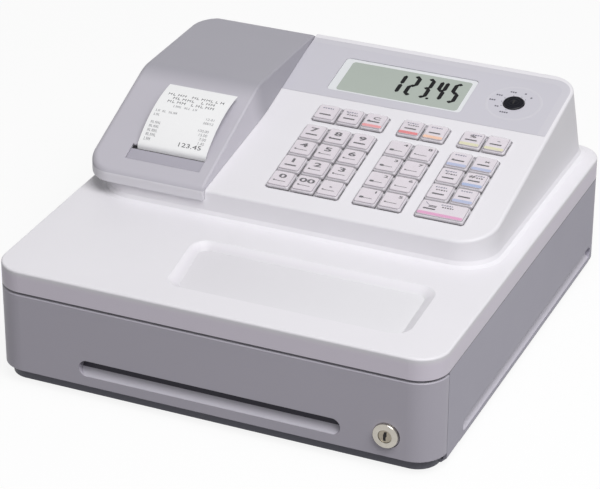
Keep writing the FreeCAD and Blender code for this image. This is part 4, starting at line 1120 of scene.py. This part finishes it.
@dataclass
class Display:
    """Pale border, field and figures of the liquid-crystal display."""

    text: str = "123.45"
    first_left: float = 16.2
    pitch: float = 11.0
    width: float = 7.3
    low: float = 104.8
    height: float = 25.2
    stroke: float = 3.1
    slant: float = 0.02
    face: float = -0.3
    window: Sides = (-28.3, 75.8, 95.5, 136.8)
    field_sides: Sides = (-21.9, 72.7, 97.2, 133.5)
    window_corner: float = 2.7
    window_drop: float = 0.12
    field_corner: float = 2.4
    field_drop: float = 0.1
    field_edge: float = 0.06
    figures_lift: float = 0.05
    point: Sides = (-0.2, 2.0, -0.3, 1.9)
    point_corner: float = 0.8
    point_share: float = 0.92
    segments: dict[str, str] = field(default_factory=lambda: {
        "1": "bc", "2": "abged", "3": "abgcd", "4": "fgbc", "5": "afgcd",
    })

    def _bars(self) -> dict[str, list[Flat]]:
        """Gives each segment's outline for a figure at the left end.

        Returns:
            Six-cornered bars by segment letter.
        """
        w, h, half = self.width, self.height, self.stroke / 2
        mid = h / 2

        def upright(u: float, v0: float, v1: float) -> list[Flat]:
            return [
                (u, v0), (u + half, v0 + half), (u + half, v1 - half),
                (u, v1), (u - half, v1 - half), (u - half, v0 + half),
            ]

        def level(v: float) -> list[Flat]:
            u0, u1 = half, w - half
            return [
                (u0, v), (u0 + half, v - half), (u1 - half, v - half),
                (u1, v), (u1 - half, v + half), (u0 + half, v + half),
            ]

        low, high = half, h - half
        return {
            "a": level(high), "g": level(mid), "d": level(low),
            "b": upright(w - half, mid, high), "c": upright(w - half, low, mid),
            "f": upright(half, mid, high), "e": upright(half, low, mid),
        }

    def build(self) -> None:
        """Builds the window's field, and the figures just over it."""
        screen = Relief("display_field", SLOPE.at)
        window = rounded(*self.window, self.window_corner)
        screen.flat(window, self.face - self.window_drop, WINDOW_EDGE)
        glass = rounded(*self.field_sides, self.field_corner)
        screen.plate(glass, self.face - self.field_drop, self.face, self.field_edge, GLASS)
        screen.build("case", Slot.GLASS)
        figures = Relief("display_figures", SLOPE.at)
        bars, left, n = self._bars(), self.first_left, self.face + self.figures_lift
        for letter in self.text:
            if letter == ".":
                u = left - (self.pitch - self.width) * self.point_share
                a, b, c, d = self.point
                dot = rounded(u + a, u + b, self.low + c, self.low + d, self.point_corner, 3)
                figures.flat(dot, n, DIGIT_INK)
                continue
            for segment in self.segments[letter]:
                outline = [(left + u + v * self.slant, self.low + v) for u, v in bars[segment]]
                figures.flat(outline, n, DIGIT_INK)
            left += self.pitch
        figures.build("case", Slot.GLASS)


@dataclass
class DisplayPanel:
    """Border, dial ring and marks printed on the display panel."""

    dial: Flat = (109.3, 117.8)
    ring_radius: float = 19.9
    right: float = 142.8
    front: float = 86.2
    rear: float = 153.8
    corner: float = 13.8
    left: float = -62.2
    edge_rows: tuple[Flat, ...] = ((2.1, -0.7), (1.8, -0.35), (1.1, 0.0), (0.0, 0.04), (-5.0, 0.04))
    rib: tuple[Flat, ...] = ((-1.1, 0.02), (-0.4, 0.12), (0.4, 0.12), (1.1, 0.02))
    switch: tuple[Flat, ...] = (
        (7.2, 1.22), (7.0, 1.34), (5.6, 1.34), (5.4, 1.27), (5.2, 1.34),
        (3.4, 1.34), (3.2, 1.27), (3.0, 1.34), (0.01, 1.34),
    )
    key_slot: Flat = (0.55, 2.2)
    key_slot_corner: float = 0.4
    key_slot_lift: float = 0.03
    print_n: float = 0.05
    dash: float = 1.3
    dash_gap: float = 0.35
    dash_half: float = 0.8
    dash_least: float = 0.5
    whole_up_to: float = 2.0
    dot_reach: float = 9.4
    dot: float = 0.4
    print_corner: float = 0.35
    marks: tuple[tuple[float, float, float], ...] = (
        (-3.8, -12.2, 5.6), (-10.5, -6.5, 3.6), (-16.0, 0.2, 5.4), (-13.0, 7.0, 5.2),
        (-4.6, 13.1, 4.8), (4.6, 13.5, 1.5), (10.0, 9.9, 1.5),
    )

    def build(self) -> None:
        """Builds the border over the case's edge, the ring, the switch's face and the marks."""
        rim = Relief("panel_border", SLOPE.at)
        rows = [[rim.place(u, v, n) for u, v in self._edge(out)] for out, n in self.edge_rows]
        rim.sheet(rows, [PANEL_EDGE] * (len(rows) - 1))
        rim.build("case", Slot.PANEL, smooth=True)
        ring = Relief("dial_ring", SLOPE.at)
        ring.ring(self.dial, [(self.ring_radius + out, n) for out, n in self.rib], DIAL_RING)
        ring.build("case", Slot.PANEL, smooth=True)
        self._switch()
        self._marks()

    def _edge(self, out: float) -> list[Flat]:
        """Gives a line along the panel's right and rear sides, moved outwards."""
        r, steps, reach = self.corner, 10, self.corner + out
        line = [(self.right + out, self.front)]
        for step in range(steps + 1):
            angle = math.radians(90 * step / steps)
            across, along = reach * math.cos(angle), reach * math.sin(angle)
            line.append((self.right - r + across, self.rear - r + along))
        return line + [(self.left, self.rear + out)]

    def _switch(self) -> None:
        """Builds the turned face of the mode switch and its small key slot."""
        face = Relief("mode_switch_face", SLOPE.at)
        face.ring(self.dial, self.switch, SWITCH_FACE)
        (x, s), (w, h) = self.dial, self.key_slot
        key_slot = rounded(x - w, x + w, s - h, s + h, self.key_slot_corner, 3)
        face.flat(key_slot, self.switch[-1][1] + self.key_slot_lift, SLOT_SHADE)
        face.build("mode", Slot.SWITCH, smooth=True)

    def _marks(self) -> None:
        """Prints the dial's short marks and its pointer dots."""
        printed = Relief("dial_marks", SLOPE.at)
        for u, v, width in self.marks:
            x, s = self.dial[0] + u, self.dial[1] + v
            left, low, high = x - width / 2, s - self.dash_half, s + self.dash_half
            while left < x + width / 2 - self.dash_least:
                size = self.dash if width > self.whole_up_to else width
                dash = rounded(left, left + size, low, high, self.print_corner, 1)
                printed.flat(dash, self.print_n, PANEL_INK)
                left += size + self.dash_gap
            share, half = self.dot_reach / math.hypot(u, v), self.dot
            x, s = self.dial[0] + u * share, self.dial[1] + v * share
            dot = rounded(x - half, x + half, s - half, s + half, self.print_corner, 2)
            printed.flat(dot, self.print_n, PANEL_INK)
        printed.build("case", Slot.PANEL)


@dataclass(frozen=True)
class Row:
    """One printed row of stroke-like signs: place, signs, height and spread."""

    u: float
    v: float
    signs: str
    size: float = 1.9
    pitch: float = 0.9
    ink: Finish = RECEIPT_FAINT


@dataclass
class Receipt:
    """Print on the paper strip that leaves the slot."""

    left: float = -125.7
    front: float = -21.4
    print_n: float = 0.06
    stroke_share: float = 0.17
    broad_shares: dict[str, float] = field(default_factory=lambda: {"m": 0.64, "n": 0.46})
    head: tuple[Row, ...] = (
        Row(4.6, 41.2, "mnmm mnmmnnm", 2.5, 1.5, RECEIPT_INK),
        Row(10.0, 37.4, "mnmmn nmm", 2.5, 1.5, RECEIPT_INK),
        Row(7.4, 33.6, "mnmm nmnmm", 2.5, 1.5, RECEIPT_INK),
        Row(14.0, 29.9, "nmmn mnn nm"),
        Row(2.8, 23.9, "nm mn mnmm"),
        Row(2.8, 20.5, "nmn"),
    )
    entries: tuple[Row, ...] = (
        Row(3.2, 14.4, "mnmmn"), Row(3.2, 11.5, "mnmmn"), Row(3.2, 8.6, "mnmmn"),
        Row(3.2, 5.8, "mnmmn"), Row(3.2, 2.9, "nmm"),
    )
    amounts: tuple[tuple[str, float], ...] = (
        ("12-01", 23.9), ("00012", 20.5), ("100.00", 14.4),
        ("15.00", 11.5), ("7.00", 8.6), ("1.45", 5.8),
    )
    amount_size: float = 1.9
    amount_right: float = 50.6
    amount_stretch: float = 1.2
    total: str = "123.45"
    total_size: float = 2.5
    total_at: Flat = (39.4, 4.0)
    total_stretch: float = 2.0
    usual_pitch: float = 0.9

    def _row(self, sheet: Relief, row: Row) -> None:
        """Prints one row of small signs; a space is a gap."""
        u, size = row.u, row.size
        stroke = size * self.stroke_share
        for sign in row.signs:
            broad = size * self.broad_shares.get(sign, 0.0) * row.pitch / self.usual_pitch
            bars = {
                "m": [
                    (0, stroke, 0, size), (broad - stroke, broad, 0, size),
                    (stroke, broad - stroke, size / 2, size / 2 + stroke),
                ],
                "n": [(0, stroke, 0, size), (stroke, broad, 0, stroke)],
            }
            for left, right, low, high in bars.get(sign, []):
                block = [(left, low), (right, low), (right, high), (left, high)]
                sheet.flat([(u + x, row.v + y) for x, y in block], self.print_n, row.ink)
            u += size * row.pitch

    def build(self) -> None:
        """Builds head lines, entries, amounts and the sum."""
        sheet = Relief("receipt_print", Skin("receipt_paper", self.left, self.front).placer())
        n, half = self.print_n, self.amount_size / 2
        for row in self.head:
            self._row(sheet, row)
        for text, v in self.amounts:
            place = (self.amount_right - half * len(text), v + half)
            sheet.letters(text, self.amount_size, place, n, RECEIPT_FAINT, self.amount_stretch)
        for row in self.entries:
            self._row(sheet, row)
        place = self.total_at
        sheet.letters(self.total, self.total_size, place, n, RECEIPT_INK, self.total_stretch)
        sheet.build("cover", Slot.PAPER)


@dataclass
class Apron:
    """Sunk apron before the paper slot, painted darker than the cover as shade, and the dark gap
    beside the paper.
    """

    slope: float = math.radians(21.9)
    lip: Flat = (-46.5, 109.9)
    left: float = -129.9
    right: float = -71.9
    paper_left: float = -125.9
    rows: tuple[Flat, ...] = (
        (-33.3, -0.02), (-31.5, -0.9), (-24.0, -1.1), (-23.3, -0.85), (-23.0, -1.6),
    )
    gap: tuple[float, float, float] = (-23.1, -21.6, -19.5)
    gap_n: float = -1.55

    def _on_cover(self, u: float, v: float, n: float) -> Vector:
        """Gives a point over the cover's slope."""
        rise = self.lip[1] + (v - self.lip[0]) * math.tan(self.slope)
        sine, cosine = math.sin(self.slope), math.cos(self.slope)
        return Vector((u, v - n * sine, rise + n * cosine)) * MM

    def build(self) -> None:
        """Builds the apron and the gap."""
        apron = Relief("slot_apron", self._on_cover)
        rows = [[apron.place(self.left, v, n), apron.place(self.right, v, n)] for v, n in self.rows]
        apron.sheet(rows, [APRON_SHADE] * (len(rows) - 1))
        front, paper, rear = self.gap
        for right, low, high in ((self.right, front, paper), (self.paper_left, paper, rear)):
            gap = [(self.left, low), (right, low), (right, high), (self.left, high)]
            apron.flat(gap, self.gap_n, GAP_SHADE)
        apron.build("cover", Slot.COVER)


@dataclass
class Lock:
    """Turned faces of the drawer's lock."""

    x: float = 127.9
    z: float = 27.9
    front: float = -172.0
    ring: tuple[Flat, ...] = (
        (9.0, 0.02), (9.0, 1.6), (8.7, 2.2), (8.1, 2.6), (6.2, 2.6), (5.6, 2.45), (5.2, 1.95),
    )
    foot: tuple[Flat, ...] = ((9.5, 0.03), (8.9, 0.04))
    foot_at: Flat = (0.25, -0.25)
    plug: tuple[Flat, ...] = (
        (4.75, 1.92), (4.55, 2.1), (3.75, 2.12), (3.55, 1.97),
        (3.35, 1.97), (3.15, 2.14), (1.0, 2.16), (0.01, 2.16),
    )
    groove: tuple[Flat, ...] = ((5.15, 1.94), (4.7, 1.96))
    parts: int = 48
    slot_width: float = 2.5
    slot_height: float = 6.6
    slot_n: float = 2.2

    def _at(self, u: float, v: float, n: float) -> Vector:
        """Gives a point over the drawer's front, with the lock in the middle."""
        return Vector((self.x + u, self.front - n, self.z + v)) * MM

    def build(self) -> None:
        """Builds the ring on the drawer and the face that turns with the key."""
        ring = Relief("lock_ring_face", self._at)
        ring.ring((0, 0), self.ring, RING)
        ring.ring(self.foot_at, self.foot, RING_SHADE)
        ring.build("drawer", Slot.LOCK, smooth=True)
        plug = Relief("lock_plug_face", self._at)
        plug.ring((0, 0), self.plug, LOCK, self.parts)
        plug.ring((0, 0), self.groove, SLOT_SHADE, self.parts)
        w, h = self.slot_width / 2, self.slot_height / 2
        keyhole = [
            (-w, -h), (w * 0.5, -h), (w * 0.5, -0.6), (w, 0.2), (w, h), (-w * 0.4, h), (-w, 0.9),
        ]
        plug.flat(keyhole, self.slot_n, SLOT_SHADE)
        plug.build("lock", Slot.LOCK, smooth=True)


@dataclass
class Grip:
    """Scoop inside the drawer's long finger grip."""

    left: float = -97.2
    right: float = 95.3
    front: float = -172.0
    foot: float = 18.8
    depth: float = 8.8
    steps: int = 8
    start: Flat = (0.15, 0.12)
    ledge_share: float = 0.72
    ledge_rise: float = 5.4
    wall: tuple[Flat, ...] = ((0.86, 7.2), (0.96, 10.5), (0.98, 16.6))

    def _at(self, u: float, v: float, n: float) -> Vector:
        """Gives a point in the grip: across, into the drawer, and up."""
        return Vector((u, self.front + v, self.foot + n)) * MM

    def build(self) -> None:
        """Builds the ledge that rises to the rear, paler as a painted highlight, and the shaded
        wall over it.
        """
        profile = []
        for step in range(self.steps + 1):
            share = step / self.steps
            into = self.start[0] + self.depth * self.ledge_share * share
            profile.append((into, self.start[1] + self.ledge_rise * share ** 1.5))
        profile += [(self.depth * share, n) for share, n in self.wall]
        scoop = Relief("grip_scoop", self._at)
        rows = [[scoop.place(self.left, v, n), scoop.place(self.right, v, n)] for v, n in profile]
        light = self.steps - 1
        scoop.sheet(rows, [LEDGE_HIGHLIGHT] * light + [GRIP_SHADE] * (len(rows) - 1 - light))
        scoop.build("drawer", Slot.DRAWER, smooth=True)


@dataclass
class SideGroove:
    """Pale ledge along the foot of a groove in the drawer housing's side; its paleness is a painted
    highlight.
    """

    name: str
    side: int
    reach: float = 163.0
    ends: Flat = (-121.0, 148.6)
    foot: float = 10.0
    profile: tuple[Flat, ...] = ((0.15, 0.15), (1.0, 0.7), (2.2, 2.2), (2.85, 4.6))

    def _at(self, u: float, v: float, n: float) -> Vector:
        """Gives a point in the groove: along it, into the side, and up."""
        return Vector((self.side * (self.reach - v), u, self.foot + n)) * MM

    def build(self) -> None:
        """Builds the ledge."""
        ledge = Relief(f"side_ledge_{self.name}", self._at)
        front, rear = self.ends
        rows = [
            [ledge.place(front + v, v, n), ledge.place(rear - v, v, n)] for v, n in self.profile
        ]
        # the ledge takes the paler plastic as a painted highlight
        ledge.sheet(rows, [LEDGE_HIGHLIGHT] * (len(rows) - 1))
        ledge.build("case", Slot.HOUSING, smooth=True)


@dataclass
class Casework:
    """Finishes of the CAD nodes."""

    def build(self) -> None:
        """Gives every CAD node its finish."""
        for name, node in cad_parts.items():
            if name.startswith("key_") and name != "key_mat":
                finish: Finish = CAP
            elif name.startswith("bill_clip"):
                finish = CLIP
            else:
                finish = NODE_FINISHES[name]
            node.data.materials.clear()
            node.data.materials.append(finish.material())
            log.info("%s: %s", name, finish.name)


@dataclass
class Studio:
    """Floor, lamps, world and camera."""

    azimuth: float = math.radians(23.466)
    elevation: float = math.radians(27.942)
    roll: float = math.radians(0.250)
    camera_at: tuple[float, float, float] = (0.6477, -1.5111, 0.9291)
    focal_share: float = 2601 / 600
    ambient: float = 0.25
    key_power: float = 48.0
    key_at: tuple[float, float, float] = (0.96, -0.78, 2.07)
    key_size: float = 1.6
    aim_height: float = 0.08
    floor_reach: float = 6.0
    floor_shades: tuple[Colour, Colour] = ((133, 133, 135), (139, 139, 141))
    floor_seen: Colour = (252, 252, 252)
    floor_glow: float = 0.88
    sensor: float = 36.0
    clip: Flat = (0.05, 50.0)

    def _floor(self) -> None:
        """Lays a pale floor that keeps the object's shadow."""
        mesh = bpy.data.meshes.new("studio_floor")
        r = self.floor_reach
        mesh.from_pydata([(-r, -r, 0), (r, -r, 0), (r, r, 0), (-r, r, 0)], [], [(0, 1, 2, 3)])
        floor = bpy.data.objects.new("studio_floor", mesh)
        bpy.context.scene.collection.objects.link(floor)
        material = bpy.data.materials.new("studio_floor_paper")
        recipe = Recipe(material)
        seen = self._seen(recipe)
        low, high = self.floor_shades
        bounce = recipe.mix(recipe.noise(0.4), linear(low), linear(high))
        paper = recipe.mix(seen, bounce, linear(self.floor_seen))
        lit = recipe.node("ShaderNodeBsdfDiffuse", {}, {"Color": paper})
        pale = recipe.node("ShaderNodeEmission", {}, {"Color": (1, 1, 1, 1), "Strength": 1.0})
        blend = recipe.node("ShaderNodeMixShader", {}, {0: seen * self.floor_glow, 1: lit, 2: pale})
        recipe.node("ShaderNodeOutputMaterial", {}, {"Surface": blend})
        mesh.materials.append(material)

    def _seen(self, recipe: Recipe) -> Wire:
        """Gives one for rays from the camera, in gloss and through glass."""
        camera = recipe.node("ShaderNodeLightPath", {}, {}, "Is Camera Ray")
        gloss = recipe.node("ShaderNodeLightPath", {}, {}, "Is Glossy Ray")
        glass = recipe.node("ShaderNodeLightPath", {}, {}, "Is Transmission Ray")
        return (camera + gloss + glass).step(0.0, 1.0)

    def _world(self) -> None:
        """Lights the object softly from all round, before a white background."""
        world = bpy.data.worlds.new("studio_world")
        bpy.context.scene.world = world
        recipe = Recipe(world)
        strength = self._seen(recipe) * (1 - self.ambient) + self.ambient
        sockets = {"Color": (1, 1, 1, 1), "Strength": strength}
        shade = recipe.node("ShaderNodeBackground", {}, sockets)
        recipe.node("ShaderNodeOutputWorld", {}, {"Surface": shade})

    def _lamp(self) -> None:
        """Hangs a square soft lamp that faces the object."""
        light = bpy.data.lights.new("key_lamp", "AREA")
        light.shape, light.size, light.energy = "SQUARE", self.key_size, self.key_power
        lamp = bpy.data.objects.new("key_lamp", light)
        bpy.context.scene.collection.objects.link(lamp)
        lamp.location = self.key_at
        away = Vector(self.key_at) - Vector((0, 0, self.aim_height))
        lamp.rotation_euler = away.to_track_quat("Z", "Y").to_euler()

    def _camera(self) -> None:
        """Sets the camera at the photograph's angle."""
        data = bpy.data.cameras.new("studio_camera")
        data.sensor_fit, data.sensor_width = "HORIZONTAL", self.sensor
        data.lens = self.sensor * self.focal_share
        data.clip_start, data.clip_end = self.clip
        camera = bpy.data.objects.new("studio_camera", data)
        bpy.context.scene.collection.objects.link(camera)
        a, e = self.azimuth, self.elevation
        back = Vector((math.sin(a) * math.cos(e), -math.cos(a) * math.cos(e), math.sin(e)))
        right = Vector((math.cos(a), math.sin(a), 0))
        up = back.cross(right)
        c, s = math.cos(self.roll), math.sin(self.roll)
        side, top = c * right + s * up, -s * right + c * up
        turn = Matrix((side, top, back)).transposed().to_4x4()
        camera.matrix_world = Matrix.Translation(Vector(self.camera_at)) @ turn
        bpy.context.scene.camera = camera

    def build(self) -> None:
        """Builds the studio."""
        self._floor()
        self._world()
        self._lamp()
        self._camera()
        bpy.context.scene.view_settings.view_transform = "Standard"


def main() -> None:
    """Builds the studio, the finishes and the pieces."""
    logging.basicConfig(level=logging.INFO, format="%(name)s: %(message)s")
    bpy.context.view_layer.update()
    parts = (
        Studio(), Casework(), Keyboard(), Display(), DisplayPanel(), Receipt(), Apron(), Lock(),
        Grip(), SideGroove("left", -1), SideGroove("right", 1),
    )
    for part in parts:
        part.build()
        log.info("%s is built", type(part).__name__)


if __name__ == "__main__":
    main()
